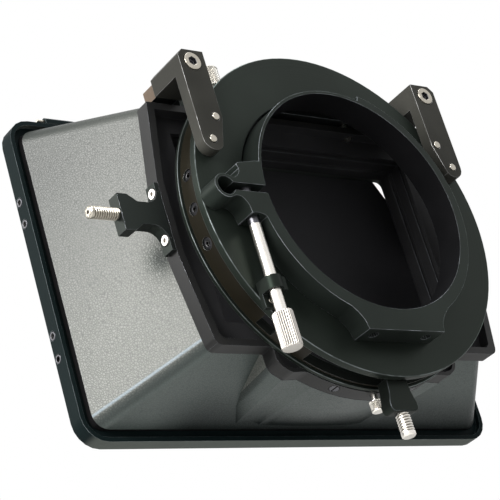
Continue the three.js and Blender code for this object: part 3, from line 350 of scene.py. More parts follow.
leather_grain, leather_in, leather_out = new_group(
    "leather grain", {"Scale": LEATHER_SCALE, "Warp": LEATHER_WARP}, ["Height", "Crease"]
)
leather_place = leather_grain.nodes.new("ShaderNodeTexCoord")
warp_noise = leather_grain.nodes.new("ShaderNodeTexNoise")
warp_noise.inputs["Scale"].default_value = WARP_SCALE
warp_shift = add_node(leather_grain, "ShaderNodeVectorMath", operation="SCALE")
warp_sum = add_node(leather_grain, "ShaderNodeVectorMath", operation="ADD")
leather_cells = add_node(leather_grain, "ShaderNodeTexVoronoi", feature="DISTANCE_TO_EDGE")
for source, socket in (
    (leather_place.outputs["Object"], warp_noise.inputs["Vector"]),
    (warp_noise.outputs["Color"], warp_shift.inputs[0]),
    (leather_in.outputs["Warp"], warp_shift.inputs["Scale"]),
    (leather_place.outputs["Object"], warp_sum.inputs[0]),
    (warp_shift.outputs[0], warp_sum.inputs[1]),
    (warp_sum.outputs[0], leather_cells.inputs["Vector"]),
    (leather_in.outputs["Scale"], leather_cells.inputs["Scale"]),
):
    leather_grain.links.new(source, socket)
pebble = spread(leather_grain, leather_cells.outputs["Distance"], *PEBBLE_SPAN)
crease = spread(leather_grain, leather_cells.outputs["Distance"], *CREASE_SPAN)
leather_grain.links.new(pebble, leather_out.inputs["Height"])
leather_grain.links.new(crease, leather_out.inputs["Crease"])
print("group:", leather_grain.name)

# %% [markdown]
# ## Finishes
# A finish is a material with one Principled shader. Two colours are mixed by a mask, roughness
# follows soft clouds, and a Bump node turns a height into small changes of the surface's direction.
# One plain colour would be simpler, but real finishes are never that even.

# %% Helpers for finishes
CLOUD_SPAN = (0.3, 0.7)


def new_finish(name, roughness, metallic=0.0, specular=0.5):
    material = bpy.data.materials.new(name)
    material.use_nodes = True
    tree = material.node_tree
    shader = tree.nodes["Principled BSDF"]
    shader.inputs["Roughness"].default_value = roughness
    shader.inputs["Metallic"].default_value = metallic
    shader.inputs["Specular IOR Level"].default_value = specular
    return material, tree, shader


def use_group(tree, group, **values):
    made = tree.nodes.new("ShaderNodeGroup")
    made.node_tree = group
    for name, value in values.items():
        made.inputs[name].default_value = value
    return made


def blend_colours(tree, mask, first, second):
    made = add_node(tree, "ShaderNodeMix", data_type="RGBA")
    tree.links.new(mask, made.inputs[0])
    colour_sockets = [socket for socket in made.inputs if socket.type == "RGBA"]
    for socket, value in zip(colour_sockets, (first, second)):
        if isinstance(value, tuple):
            socket.default_value = (*value, 1)
        else:
            tree.links.new(value, socket)
    return [socket for socket in made.outputs if socket.type == "RGBA"][0]


def shade_of(colour, share):
    return tuple(min(1.0, share * part) for part in colour)


def vary_roughness(tree, shader, value, low, high, span=CLOUD_SPAN):
    tree.links.new(spread(tree, value, *span, low, high), shader.inputs["Roughness"])


def add_bump(tree, shader, height, strength, distance):
    bump = tree.nodes.new("ShaderNodeBump")
    bump.inputs["Strength"].default_value = strength
    bump.inputs["Distance"].default_value = distance
    tree.links.new(height, bump.inputs["Height"])
    tree.links.new(bump.outputs["Normal"], shader.inputs["Normal"])


print("finish helpers ready")

# %% [markdown]
# ### Anodised aluminium
# Black anodising is a thin dyed skin: very dark and satin, with a gloss that leans to green. The
# colour under it could be green too, but then it would look painted. It stays neutral, and the shade
# of the gloss is set on the shader's Specular Tint. Turned faces keep faint rings, milled ones a fine
# blasted grain, and worn edges show bright metal together with a painted highlight.

# %% The anodised finish
ANODISED_CLOUDS = (0.35, 0.7)
PALER_SHARE = 1.7
ROUGHNESS_SWING = 0.06
EDGE_METAL_SHARE = 0.8
MACHINED_BUMP = 0.12
MACHINED_RELIEF = 0.2 * mm
GREEN_GLOSS = (0.74, 1.0, 0.80, 1)
PLAIN_GLOSS = (1, 1, 1, 1)
LEAST_WEAR_AND_HIGHLIGHT = 0.35


def anodised(name, colour, edge_colour, roughness, specular, least_wear_and_highlight=LEAST_WEAR_AND_HIGHLIGHT,
             turned_face=False, gloss=PLAIN_GLOSS, paler_share=PALER_SHARE):
    material, tree, shader = new_finish(name, roughness, specular=specular)
    shader.inputs["Specular Tint"].default_value = gloss
    grain = use_group(tree, blasted_grain)
    wear = use_group(tree, edge_wear_and_highlight, Least=least_wear_and_highlight)
    clouds = spread(tree, grain.outputs["Clouds"], *ANODISED_CLOUDS)
    face = blend_colours(tree, clouds, colour, shade_of(colour, paler_share))
    # worn edges, with a painted highlight along them
    shown = blend_colours(tree, wear.outputs["Mask"], face, edge_colour)
    tree.links.new(shown, shader.inputs["Base Color"])
    smoothest = roughness - ROUGHNESS_SWING
    roughest = roughness + ROUGHNESS_SWING
    vary_roughness(tree, shader, grain.outputs["Clouds"], smoothest, roughest)
    metal_edge = maths(tree, "MULTIPLY", wear.outputs["Mask"], EDGE_METAL_SHARE)
    tree.links.new(metal_edge, shader.inputs["Metallic"])
    relief = use_group(tree, turning_marks) if turned_face else grain
    add_bump(tree, shader, relief.outputs["Height"], MACHINED_BUMP, MACHINED_RELIEF)
    return material


print("anodised finish ready")

# %% [markdown]
# ### The anodised pieces' finishes
# Batches of anodising differ. The disc and clamp are a green black, the arms a warm grey, the drum a
# brown black, and the housing a plain one. The clamp's and housing's edges are rubbed bright by use
# and carry a stronger painted highlight, others hardly. Inside, where no hand and little light
# reaches, the finishes are duller.

# %% Anodised finishes
BRIGHT_EDGE = (0.36, 0.38, 0.42)
SOFT_EDGE = (0.14, 0.155, 0.16)
GREY_EDGE = (0.26, 0.26, 0.26)
DULL_EDGE = (0.05, 0.055, 0.06)
INSIDE_EDGE = (0.09, 0.09, 0.09)
BAR_EDGE_COLOUR = (0.35, 0.30, 0.24)
INSIDE_PALER_SHARE = 1.2

black_turned = anodised(
    "black anodised, turned", (0.0054, 0.0068, 0.0058), SOFT_EDGE, roughness=0.40, specular=0.155,
    least_wear_and_highlight=0.3, turned_face=True, gloss=GREEN_GLOSS,
)
black_clamp = anodised(
    "black anodised, rubbed edges", (0.0054, 0.0066, 0.0060), BRIGHT_EDGE, roughness=0.40,
    specular=0.150, least_wear_and_highlight=0.3, turned_face=True, gloss=GREEN_GLOSS,
)
black_milled = anodised(
    "black anodised, milled", (0.0055, 0.0060, 0.0062), BRIGHT_EDGE, roughness=0.42, specular=0.20,
    gloss=GREEN_GLOSS,
)
black_housing = anodised(
    "black anodised, housing", (0.0074, 0.0075, 0.0076), BRIGHT_EDGE, roughness=0.42,
    specular=0.23, least_wear_and_highlight=0.45,
)
black_dull = anodised(
    "black anodised, dull", (0.0045, 0.0052, 0.0047), DULL_EDGE, roughness=0.45, specular=0.13,
    least_wear_and_highlight=0.2, gloss=GREEN_GLOSS,
)
grey_milled = anodised(
    "grey black anodised", (0.0235, 0.0233, 0.0205), GREY_EDGE, roughness=0.42, specular=0.04
)
brown_drum = anodised(
    "brown black anodised", (0.0060, 0.0052, 0.0034), GREY_EDGE, roughness=0.36, specular=0.12,
    turned_face=True,
)
black_inside = anodised(
    "dull black inside", (0.055, 0.055, 0.060), INSIDE_EDGE, roughness=0.65, specular=0.20,
    least_wear_and_highlight=0.0, paler_share=INSIDE_PALER_SHARE,
)
# also the painted shade on the hood's band under the rim
bore_black_and_gap_shade = anodised(
    "black inside the bore, painted shade under the rim", (0.0034, 0.0034, 0.0038), SOFT_EDGE, roughness=0.50, specular=0.06,
    least_wear_and_highlight=0.2,
)
tray_black = anodised(
    "black trays", (0.013, 0.013, 0.014), DULL_EDGE, roughness=0.55, specular=0.10, least_wear_and_highlight=0.2
)
plain_metal = anodised(
    "plain bar", (0.066, 0.045, 0.029), BAR_EDGE_COLOUR, roughness=0.45, specular=0.2
)
shadow_black = anodised(
    "painted shade in sockets", (0.0020, 0.0020, 0.0022), GREY_EDGE, roughness=0.6, specular=0.08,
    least_wear_and_highlight=0.0,
)
print("anodised finishes, from", black_turned.name, "to", shadow_black.name)

# %% [markdown]
# ### Bare steel
# The screws, studs and knobs are bright metal, so they are fully metallic and take their look from
# reflections. The clamp's screw is clean and pale, the smaller screws are a warmer grey. The bottoms
# of knurls and threads are painted darker, a painted shade. A texture could paint it, but those
# points already carry a mark called groove, and the finish darkens there. Their edges are paler,
# partly wear and partly a painted highlight.

# %% Steel finishes
GROOVE_MARK = "groove"
STEEL_GRAIN = 2600.0
STEEL_WEAR_AND_HIGHLIGHT = 0.6
STEEL_CLOUDS = (0.3, 0.75)
CLOUD_SHARE = 0.85
RUBBED_AND_LIT_SHARE = 1.12
SMOOTHER = 0.05
ROUGHER = 0.08
GROOVE_SHADE_SHARE = 0.4
STEEL_BUMP = 0.1
STEEL_RELIEF = 0.1 * mm


def steel(name, colour, roughness, groove_shade_share=GROOVE_SHADE_SHARE):
    material, tree, shader = new_finish(name, roughness, metallic=1.0)
    grain = use_group(tree, blasted_grain, Scale=STEEL_GRAIN)
    wear = use_group(tree, edge_wear_and_highlight, Least=STEEL_WEAR_AND_HIGHLIGHT)
    clouds = spread(tree, grain.outputs["Clouds"], *STEEL_CLOUDS)
    face = blend_colours(tree, clouds, colour, shade_of(colour, CLOUD_SHARE))
    # paler edges: wear, and partly a painted highlight
    shown = blend_colours(tree, wear.outputs["Mask"], face, shade_of(colour, RUBBED_AND_LIT_SHARE))
    groove = add_node(tree, "ShaderNodeAttribute", attribute_name=GROOVE_MARK)
    # painted shade: the bottoms of knurls and threads are darkened
    final = blend_colours(tree, groove.outputs["Fac"], shown, shade_of(colour, groove_shade_share))
    tree.links.new(final, shader.inputs["Base Color"])
    smoothest = roughness - SMOOTHER
    roughest = roughness + ROUGHER
    vary_roughness(tree, shader, grain.outputs["Height"], smoothest, roughest)
    add_bump(tree, shader, grain.outputs["Height"], STEEL_BUMP, STEEL_RELIEF)
    return material


bright_steel = steel("bright steel", (0.80, 0.77, 0.72), roughness=0.30)
knob_steel = steel("knob steel", (0.54, 0.515, 0.48), roughness=0.44, groove_shade_share=0.28)
knurled_steel = steel(
    "crossed knurl steel", (0.90, 0.87, 0.81), roughness=0.30, groove_shade_share=0.62
)
socket_shade_steel = steel("steel with painted shade in small sockets", (0.42, 0.39, 0.36), roughness=0.5)
warm_steel = steel("warm steel", (0.46, 0.43, 0.37), roughness=0.30)
dark_steel_and_shade = steel("dark steel and shade", (0.10, 0.10, 0.11), roughness=0.35)
print("brightest and darkest steel:", knurled_steel.name, "and", dark_steel_and_shade.name)

# %% [markdown]
# ### The hood's grained skin
# Outside, the hood is a dark grey-green skin whose pebbles catch the light. It is painted paler
# towards its bottom and its rear, a painted light for the lamp's glare there, and the creases between
# the pebbles stay dark. An image could hold all that. Here every drift is a mask that is spread along
# one of the piece's own coordinates, so each line says where it starts, where it ends, and how strong
# it is at both.

# %% Skin: colour
SKIN_GRAIN_SCALE = 700.0
SKIN_DARK = (0.021, 0.025, 0.022)
SKIN_CLOUD = (0.029, 0.033, 0.029)
SKIN_PAINTED_LIGHT = (0.112, 0.117, 0.107)
SKIN_CREASE = (0.020, 0.024, 0.022)
CREASE_SHARE = 0.5
LOW_PAINTED_LIGHT = (-60 * mm, 60 * mm, 1.0, 0.0)
REAR_PAINTED_LIGHT = (-85 * mm, -40 * mm, 0.0, 0.3)

grained_skin, skin_tree, skin_shader = new_finish(
    "grained skin", roughness=0.44, specular=0.385
)
skin_leather = use_group(skin_tree, leather_grain, Scale=LEATHER_SCALE)
skin_grain = use_group(skin_tree, blasted_grain, Scale=SKIN_GRAIN_SCALE)
skin_x, skin_y, skin_z = object_parts(skin_tree)
skin_clouds = spread(skin_tree, skin_grain.outputs["Clouds"], *CLOUD_SPAN)
skin_face = blend_colours(skin_tree, skin_clouds, SKIN_DARK, SKIN_CLOUD)
# painted light: the skin is painted paler low down and towards the rear
low_painted_light = spread(skin_tree, skin_z, *LOW_PAINTED_LIGHT)
rear_painted_light = spread(skin_tree, skin_y, *REAR_PAINTED_LIGHT)
painted_light_part = maths(skin_tree, "ADD", low_painted_light, rear_painted_light, clamp=True)
skin_painted_light = blend_colours(skin_tree, painted_light_part, skin_face, SKIN_PAINTED_LIGHT)
crease_part = maths(skin_tree, "MULTIPLY", skin_leather.outputs["Crease"], CREASE_SHARE)
skin_shown = blend_colours(skin_tree, crease_part, skin_painted_light, SKIN_CREASE)
print("finish begun:", grained_skin.name)

# %% [markdown]
# ### Painted shade on the skin
# Some places are painted with shade and give little gloss: the hollow pressed into the left side,
# the underside towards the rim, the swelling in its middle, and the folds above and below the left
# side. Each is a mask on the place or on the direction the surface faces, and the strongest one
# counts. A dark colour with some Metallic does the rest of the painted shade, because metal reflects
# only its own colour, which here is nearly black.

# %% Skin: masks of the painted shade places
HOLLOW_PLACE = Vector((89.5, -44, -13)) * mm
HOLLOW_REACH = 12.5 * mm
HOLLOW_PAINTED_SHADE = (1 * mm, HOLLOW_REACH, 0.72, 0.0)
UNDERSIDE = (-0.6, -0.15, 1.0, 0.0)
NEAR_RIM = (-82 * mm, -52 * mm, 0.80, 0.22)
FROM_CORNER = (62 * mm, 96 * mm, 1.0, 0.2)
FRONT_EDGE = (-91.5 * mm, -83 * mm, 0.95, 0.0)
FOLD_ABOVE = (0.1, 0.45, 0.0, 0.16)
FOLD_BELOW_START = (-0.35, -0.12, 0.5, 0.0)
FOLD_BELOW_END = (-0.9, -0.6, 0.0, 1.0)
SWELL_WIDTH = (54 * mm, 62 * mm, 1.0, 0.0)
SWELL_HEIGHT = (-80 * mm, -74 * mm, 1.0, 0.0)
SWELL_FACING = (-0.85, -0.45, 0.25, 0.8)

skin_up = object_parts(skin_tree, "Normal")[2]
skin_place = skin_tree.nodes.new("ShaderNodeTexCoord")
hollow_offset = add_node(skin_tree, "ShaderNodeVectorMath", operation="DISTANCE")
skin_tree.links.new(skin_place.outputs["Object"], hollow_offset.inputs[0])
hollow_offset.inputs[1].default_value = HOLLOW_PLACE
hollow_painted_shade = spread(skin_tree, hollow_offset.outputs["Value"], *HOLLOW_PAINTED_SHADE)
underside = spread(skin_tree, skin_up, *UNDERSIDE)
fold_above_shade = spread(skin_tree, skin_up, *FOLD_ABOVE)


def mask_product(*parts):
    return combine(skin_tree, "MULTIPLY", [spread(skin_tree, *part) for part in parts])


rim_painted_shade = mask_product((skin_y, *NEAR_RIM), (skin_up, *UNDERSIDE), (skin_x, *FROM_CORNER))
edge_painted_shade = mask_product((skin_y, *FRONT_EDGE), (skin_up, *UNDERSIDE))
fold_below_shade = mask_product((skin_up, *FOLD_BELOW_START), (skin_up, *FOLD_BELOW_END))
swell_painted_shade = mask_product(
    (skin_x, *SWELL_WIDTH), (skin_z, *SWELL_HEIGHT), (skin_up, *SWELL_FACING)
)
painted_shade_masks = [rim_painted_shade, edge_painted_shade, fold_below_shade, swell_painted_shade, fold_above_shade, hollow_painted_shade]
# painted shade: the strongest of these masks darkens the skin's colour and its gloss
painted_shade = combine(skin_tree, "MAXIMUM", painted_shade_masks)
print("painted shade places:", len(painted_shade_masks))

# %% [markdown]
# ### The skin's underside and its lower fold
# The underside is painted a cool green light, the light it would get from looking at the floor and
# away from the lamps. Where the left side folds into it, a painted highlight draws one thin pale
# line along the rounded edge. A separate strip of mesh could carry that line. A mask on the surface's
# direction keeps it exactly on the fold, with soft ends.

# %% Skin: underside light, fold highlight and colour links
UNDERSIDE_SHARE = 0.7
UNDERSIDE_PAINTED_LIGHT = (0.036, 0.052, 0.050)
PAINTED_SHADE = (0.0060, 0.0085, 0.0090)
PAINTED_SHADE_METAL_SHARE = 0.9
HIGHLIGHT_START = (-0.12, -0.04, 0.7, 0.0)
HIGHLIGHT_END = (-0.26, -0.14, 0.0, 1.0)
HIGHLIGHT_SIDE = (62 * mm, 72 * mm, 0.0, 1.0)
FOLD_HIGHLIGHT_COLOUR = (0.18, 0.225, 0.26)

# painted light: the underside is painted a cool green
underside_light_part = maths(skin_tree, "MULTIPLY", underside, UNDERSIDE_SHARE)
skin_underside_light = blend_colours(skin_tree, underside_light_part, skin_shown, UNDERSIDE_PAINTED_LIGHT)
# the painted shade is blended over the skin's colour
skin_painted_shade = blend_colours(skin_tree, painted_shade, skin_underside_light, PAINTED_SHADE)
# painted highlight: one thin pale line along the lower left fold
fold_highlight = mask_product((skin_up, *HIGHLIGHT_START), (skin_up, *HIGHLIGHT_END), (skin_x, *HIGHLIGHT_SIDE))
skin_final = blend_colours(skin_tree, fold_highlight, skin_painted_shade, FOLD_HIGHLIGHT_COLOUR)
skin_tree.links.new(skin_final, skin_shader.inputs["Base Color"])
painted_shade_metal = maths(skin_tree, "MULTIPLY", painted_shade, PAINTED_SHADE_METAL_SHARE)
skin_tree.links.new(painted_shade_metal, skin_shader.inputs["Metallic"])
print("skin nodes:", len(skin_tree.nodes))

# %% [markdown]
# ### The skin's relief
# The pebbles are coarser low down than at the top, and the flat underside is smoother. Pebbles and
# a finer grain are added as heights, scaled by two more masks, and one Bump node shows them. Real
# displacement would need millions of faces for the same look.

# %% Skin: relief
COARSE_PART = (-45 * mm, 40 * mm, 0.75, 0.35)
FLAT_BELOW = (-0.75, -0.45, 0.45, 1.0)
FINE_SHARE = 0.6
SKIN_SMOOTHEST = 0.40
SKIN_ROUGHEST = 0.52
FULL_SPAN = (0.0, 1.0)
SKIN_BUMP = 0.28
SKIN_RELIEF = 0.35 * mm

skin_lines = skin_leather.outputs["Crease"]
vary_roughness(skin_tree, skin_shader, skin_lines, SKIN_SMOOTHEST, SKIN_ROUGHEST, FULL_SPAN)
coarse_part = spread(skin_tree, skin_z, *COARSE_PART)
pebble_height = maths(skin_tree, "MULTIPLY", skin_leather.outputs["Height"], coarse_part)
fine_height = maths(skin_tree, "MULTIPLY", skin_grain.outputs["Height"], FINE_SHARE)
full_relief = maths(skin_tree, "ADD", pebble_height, fine_height)
flat_below = spread(skin_tree, skin_up, *FLAT_BELOW)
skin_relief = maths(skin_tree, "MULTIPLY", full_relief, flat_below)
add_bump(skin_tree, skin_shader, skin_relief, SKIN_BUMP, SKIN_RELIEF)
print("finish:", grained_skin.name)

# %% [markdown]
# ### The rim's paint
# The rim is painted a smooth blue black with hardly any gloss, and light metal shows where its edges
# have knocked against things, with a painted highlight along them. Its underside is painted paler, a
# painted light for the gloss it catches there. That is one more mask on the surface's direction, so
# the rim stays one piece with one finish.

# %% Rim paint finish
RIM_GRAIN = 900.0
RIM_WEAR_AND_HIGHLIGHT = 0.5
RIM_DARK = (0.0032, 0.0066, 0.0070)
RIM_CLOUD = (0.0050, 0.0090, 0.0095)
RIM_BELOW_PAINTED_LIGHT = (0.060, 0.068, 0.062)
RIM_EDGE = (0.20, 0.23, 0.24)
RIM_FACING_DOWN = (-0.95, -0.7, 1.0, 0.0)
RIM_SMOOTHEST = 0.42
RIM_ROUGHEST = 0.50
RIM_BUMP = 0.2
RIM_RELIEF = 0.2 * mm

rim_paint, rim_tree, rim_shader = new_finish("rim paint", roughness=0.46, specular=0.03)
rim_grain = use_group(rim_tree, blasted_grain, Scale=RIM_GRAIN)
rim_wear_and_highlight = use_group(rim_tree, edge_wear_and_highlight, Least=RIM_WEAR_AND_HIGHLIGHT)
rim_clouds = spread(rim_tree, rim_grain.outputs["Clouds"], *CLOUD_SPAN)
rim_face = blend_colours(rim_tree, rim_clouds, RIM_DARK, RIM_CLOUD)
rim_underside = spread(rim_tree, object_parts(rim_tree, "Normal")[2], *RIM_FACING_DOWN)
# painted light: the rim's underside is painted paler
rim_painted_light = blend_colours(rim_tree, rim_underside, rim_face, RIM_BELOW_PAINTED_LIGHT)
rim_shown = blend_colours(rim_tree, rim_wear_and_highlight.outputs["Mask"], rim_painted_light, RIM_EDGE)
rim_tree.links.new(rim_shown, rim_shader.inputs["Base Color"])
vary_roughness(rim_tree, rim_shader, rim_grain.outputs["Clouds"], RIM_SMOOTHEST, RIM_ROUGHEST)
add_bump(rim_tree, rim_shader, rim_grain.outputs["Height"], RIM_BUMP, RIM_RELIEF)
print("finish:", rim_paint.name)

# %% [markdown]
# ## Machined pieces
# Real machined parts never have perfectly sharp edges: each has a small bevel that catches a thin
# line of light. The imported solids are sharp, so each is copied, its doubled points are merged, flat
# areas are joined into single faces, and its sharp edges are bevelled. A Bevel modifier could do
# that too, but only the operator says which faces it made, and the middle of each bevel is marked
# for the wear and the painted highlight along edges.

# %% Helpers for machined pieces
WELD = 0.002 * mm
FLAT = math.radians(0.6)
SHARP = math.radians(24)
SMOOTH = math.radians(50)
BEVEL_SEGMENTS = 2


def whole(bm):
    return bm.verts[:] + bm.edges[:] + bm.faces[:]


def copy_of_node(node):
    bm = bmesh.new()
    bm.from_mesh(nodes[node].data)
    bmesh.ops.remove_doubles(bm, verts=bm.verts, dist=WELD)
    bmesh.ops.dissolve_limit(bm, angle_limit=FLAT, verts=bm.verts, edges=bm.edges)
    return bm


def folded_edges(bm, least, most=math.pi):
    return [
        edge
        for edge in bm.edges
        if len(edge.link_faces) == 2 and least < edge.calc_face_angle(0.0) <= most
    ]


def bevel_edges(bm, edges, width, segments):
    made = bmesh.ops.bevel(
        bm, geom=edges, offset=width, offset_type="OFFSET", affect="EDGES",
        segments=segments, profile=0.5, material=-1, clamp_overlap=True,
    )
    return set(made["faces"])


def bevel_sharp_edges(bm, width):
    edges = folded_edges(bm, SHARP)
    strip = bevel_edges(bm, edges, width, BEVEL_SEGMENTS)
    layer = bm.verts.layers.float.new(EDGE_MARK)
    for vert in bm.verts:
        inside = vert.link_faces and all(face in strip for face in vert.link_faces)
        vert[layer] = 1.0 if inside else 0.0
    bm.normal_update()
    return len(edges)


def finish_piece(bm, node, materials, smooth=SMOOTH, name=None):
    bm.normal_update()
    name = name or node + "_finished"
    mesh = bpy.data.meshes.new(name)
    bm.to_mesh(mesh)
    bm.free()
    piece = bpy.data.objects.new(name, mesh)
    bpy.context.scene.collection.objects.link(piece)
    for material in materials:
        mesh.materials.append(material)
    mesh.shade_smooth()
    mesh.set_sharp_from_angle(angle=smooth)
    flats = piece.modifiers.new("flat faces stay flat", "WEIGHTED_NORMAL")
    flats.keep_sharp = True
    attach(piece, nodes[node]["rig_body"])
    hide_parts(node)
    print(name, "faces:", len(mesh.polygons))


def machined(node, materials, width, shade=None):
    bm = copy_of_node(node)
    bevel_sharp_edges(bm, width)
    if shade:
        for face in bm.faces:
            face.material_index = shade(face)
    finish_piece(bm, node, materials)


print("machining helpers ready")

# %% [markdown]
# ## The rear unit
# The clamp, the disc, the drum, its flange and the lower lug stay with the lens. A piece can carry
# two finishes: each face names its own by its number in the piece's list. The sleeve's inner wall
# is duller than its outside, and only the outside of the drum is brown. How far a face points away
# from the optical axis tells the two apart.

# %% Rear unit
SIDE_LEAST = 0.7
CLAMP_BEVEL = 0.45 * mm
DISC_BEVEL = 0.6 * mm
DRUM_BEVEL = 0.3 * mm
FLANGE_BEVEL = 0.4 * mm
GUIDE_BEVEL = 0.35 * mm
LUG_BEVEL = 0.5 * mm


def outward_share(face):
    centre = face.calc_center_median()
    return face.normal.dot(Vector((centre.x, 0, centre.z)).normalized())


def faces_axis(face):
    return 1 if outward_share(face) < -SIDE_LEAST else 0


def not_outside(face):
    return 0 if outward_share(face) > SIDE_LEAST else 1


machined("clamp_ring", [black_clamp, bore_black_and_gap_shade], CLAMP_BEVEL, shade=faces_axis)
machined("rear_disc", [black_turned], DISC_BEVEL)
machined("stage_drum", [brown_drum, black_dull], DRUM_BEVEL, not_outside)
machined("front_flange", [black_turned], FLANGE_BEVEL)
machined("screw_guide", [black_dull], GUIDE_BEVEL)
machined("lower_lug", [black_dull], LUG_BEVEL)

# %% [markdown]
# ## The housing
# The housing is milled from a block, and the boss at its bottom has softly rounded corners. Those
# corners are the slanted edges that run along the optical axis, low down. They are bevelled first
# and in more segments, and the other edges afterwards, because one bevel can't have two widths.
# Inside its opening and on the floor of its recess the housing takes the trays' dull finish.

# %% Housing
SLANT_LEAST = math.radians(20)
SLANT_MOST = math.radians(65)
SLANT_BELOW = -60 * mm
ALONG_AXIS = 0.99
ROUNDING = 1.8 * mm
ROUNDING_SEGMENTS = 5
HOUSING_BEVEL = 0.4 * mm
RECESS_DEPTH = 3 * mm
END_FACING = 0.9

housing_bm = copy_of_node("housing_frame")
slanted = [
    edge
    for edge in folded_edges(housing_bm, SLANT_LEAST, SLANT_MOST)
    if all(vert.co.z < SLANT_BELOW for vert in edge.verts)
    and abs((edge.verts[0].co - edge.verts[1].co).normalized().y) > ALONG_AXIS
]
print("rounded corners of the boss:", len(slanted))
bevel_edges(housing_bm, slanted, ROUNDING, ROUNDING_SEGMENTS)
bevel_sharp_edges(housing_bm, HOUSING_BEVEL)
housing_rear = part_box("housing_frame")[1][1]
for face in housing_bm.faces:
    is_deep = face.calc_center_median().y < housing_rear - RECESS_DEPTH
    is_floor = is_deep and face.normal.y > END_FACING
    face.material_index = 1 if is_floor or faces_axis(face) else 0
finish_piece(
    housing_bm, "housing_frame", [black_housing, tray_black], name="housing_finished"
)

# %% [markdown]
# ## Arms, bracket, trays, flag and rim
# These pieces need nothing but their bevels and a finish, so one loop makes them all. The rim's
# bevel is the widest, because it is moulded and not milled.

# %% Arms, bracket, guides, trays, flag and rim
ARM_BEVEL = 0.5 * mm
BRACKET_BEVEL = 0.4 * mm
SHEET_BEVEL = 0.3 * mm
HINGE_BEVEL = 0.2 * mm
RIM_BEVEL = 0.9 * mm

for node, material, width in (
    ("arm_left", grey_milled, ARM_BEVEL),
    ("arm_right", grey_milled, ARM_BEVEL),
    ("side_bracket", black_milled, BRACKET_BEVEL),
    ("tray_guide_left", tray_black, SHEET_BEVEL),
    ("tray_guide_right", tray_black, SHEET_BEVEL),
    ("filter_tray_rear", tray_black, SHEET_BEVEL),
    ("filter_tray_front", tray_black, SHEET_BEVEL),
    ("top_flag", black_inside, SHEET_BEVEL),
    ("flag_hinge_block_left", rim_paint, HINGE_BEVEL),
    ("flag_hinge_block_right", rim_paint, HINGE_BEVEL),
):
    machined(node, [material], width)
machined("front_rim", [rim_paint], RIM_BEVEL)

# %% [markdown]
# ## The top bar
# Only the bar's sawn ends are bare, a tan metal. Its long faces are as black as the housing. The
# faces that lie at an end and look along the bar take the tan finish.

# %% Top bar
BAR_BEVEL = 0.3 * mm
BAR_END = 1 * mm

bar_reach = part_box("top_bar")[1][0]


def bar_finish(face):
    at_end = abs(face.calc_center_median().x) > bar_reach - BAR_END
    return 0 if at_end and abs(face.normal.x) > END_FACING else 1


machined("top_bar", [plain_metal, black_milled], BAR_BEVEL, bar_finish)

# %% [markdown]
# ## Sockets and slots in the small screws
# A socket looks black because no light gets out of it. At this size its walls may not be dark
# enough by themselves, so the faces that lie below the head's face, close to its axis, take a
# darker colour, a painted shade. Each screw is a copy of its imported solid, and the sizes of its
# socket tell which faces those are.

# %% Helpers for small screws
BACKWARD = Vector((0, 1, 0))
TO_LEFT = Vector((1, 0, 0))
TO_RIGHT = Vector((-1, 0, 0))
UPWARD = Vector((0, 0, 1))
DOWNWARD = Vector((0, 0, -1))
SINK = 0.06 * mm
SMALL_BEVEL = 0.15 * mm


def middle_of(node):
    low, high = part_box(node)
    return (Vector(low) + Vector(high)) / 2


def away_from_lens(node):
    middle = middle_of(node)
    return Vector((middle.x, 0, middle.z)).normalized()


def reach_of(node, direction):
    return max(vert.co.dot(direction) for vert in nodes[node].data.vertices)


def dark_below_face(node, direction, radius, depth):
    middle = middle_of(node)
    face_middle = middle + direction * (reach_of(node, direction) - middle.dot(direction))

    def shade(face):
        offset = face.calc_center_median() - face_middle
        along = offset.dot(direction)
        across = (offset - direction * along).length
        return 1 if across < radius and -depth < along < -SINK else 0

    return shade


def socket_screw(node, direction, radius, depth, finishes, width=SMALL_BEVEL):
    shade = dark_below_face(node, direction, radius, depth)
    machined(node, finishes, width, shade)


print("small screw helpers ready")

# %% [markdown]
# ## Screws, pins and inserts
# The arms' cap screws and the bracket's screws are bright. The lip's slotted screws, the drum's set
# screws and the inserts in the rim's sides are dark, and light shows only on their edges. The same
# helper makes them all, given which way each one's head looks.

# %% Screws, pins and inserts
# the dark screws' slots, sockets and holes take near black, a painted shade
DARK_STEEL_AND_SOCKET_SHADE = [dark_steel_and_shade, shadow_black]
CAP_BEVEL = 0.25 * mm
CAP_RADIUS = 2.6 * mm
CAP_DEPTH = 2.4 * mm
SLOT_RADIUS = 2.1 * mm
SLOT_DEPTH = 1 * mm
BRACKET_RADIUS = 1.2 * mm
BRACKET_DEPTH = 1.4 * mm
SET_RADIUS = 1.6 * mm
SET_DEPTH = 1.9 * mm
INSERT_RADIUS = 1.7 * mm
INSERT_DEPTH = 5 * mm

for side in ("left", "right"):
    node = "arm_screw_" + side
    # the cap screws' sockets take the second finish, a painted shade
    socket_screw(node, BACKWARD, CAP_RADIUS, CAP_DEPTH, [warm_steel, dark_steel_and_shade], CAP_BEVEL)
    node = "lip_screw_" + side
    socket_screw(node, away_from_lens(node), SLOT_RADIUS, SLOT_DEPTH, DARK_STEEL_AND_SOCKET_SHADE)
    for level in ("upper", "lower"):
        machined("arm_pin_" + side + "_" + level, [warm_steel], SMALL_BEVEL)
for level in ("upper", "lower"):
    node = "bracket_screw_" + level
    socket_screw(node, TO_LEFT, BRACKET_RADIUS, BRACKET_DEPTH, [bright_steel, socket_shade_steel])
for level in ("upper", "middle", "lower"):
    node = "drum_set_screw_" + level
    socket_screw(node, away_from_lens(node), SET_RADIUS, SET_DEPTH, DARK_STEEL_AND_SOCKET_SHADE)
for side, outward in (("left", TO_LEFT), ("right", TO_RIGHT)):
    for level in ("top", "upper", "lower", "bottom"):
        node = "rim_insert_" + side + "_" + level
        socket_screw(node, outward, INSERT_RADIUS, INSERT_DEPTH, DARK_STEEL_AND_SOCKET_SHADE)
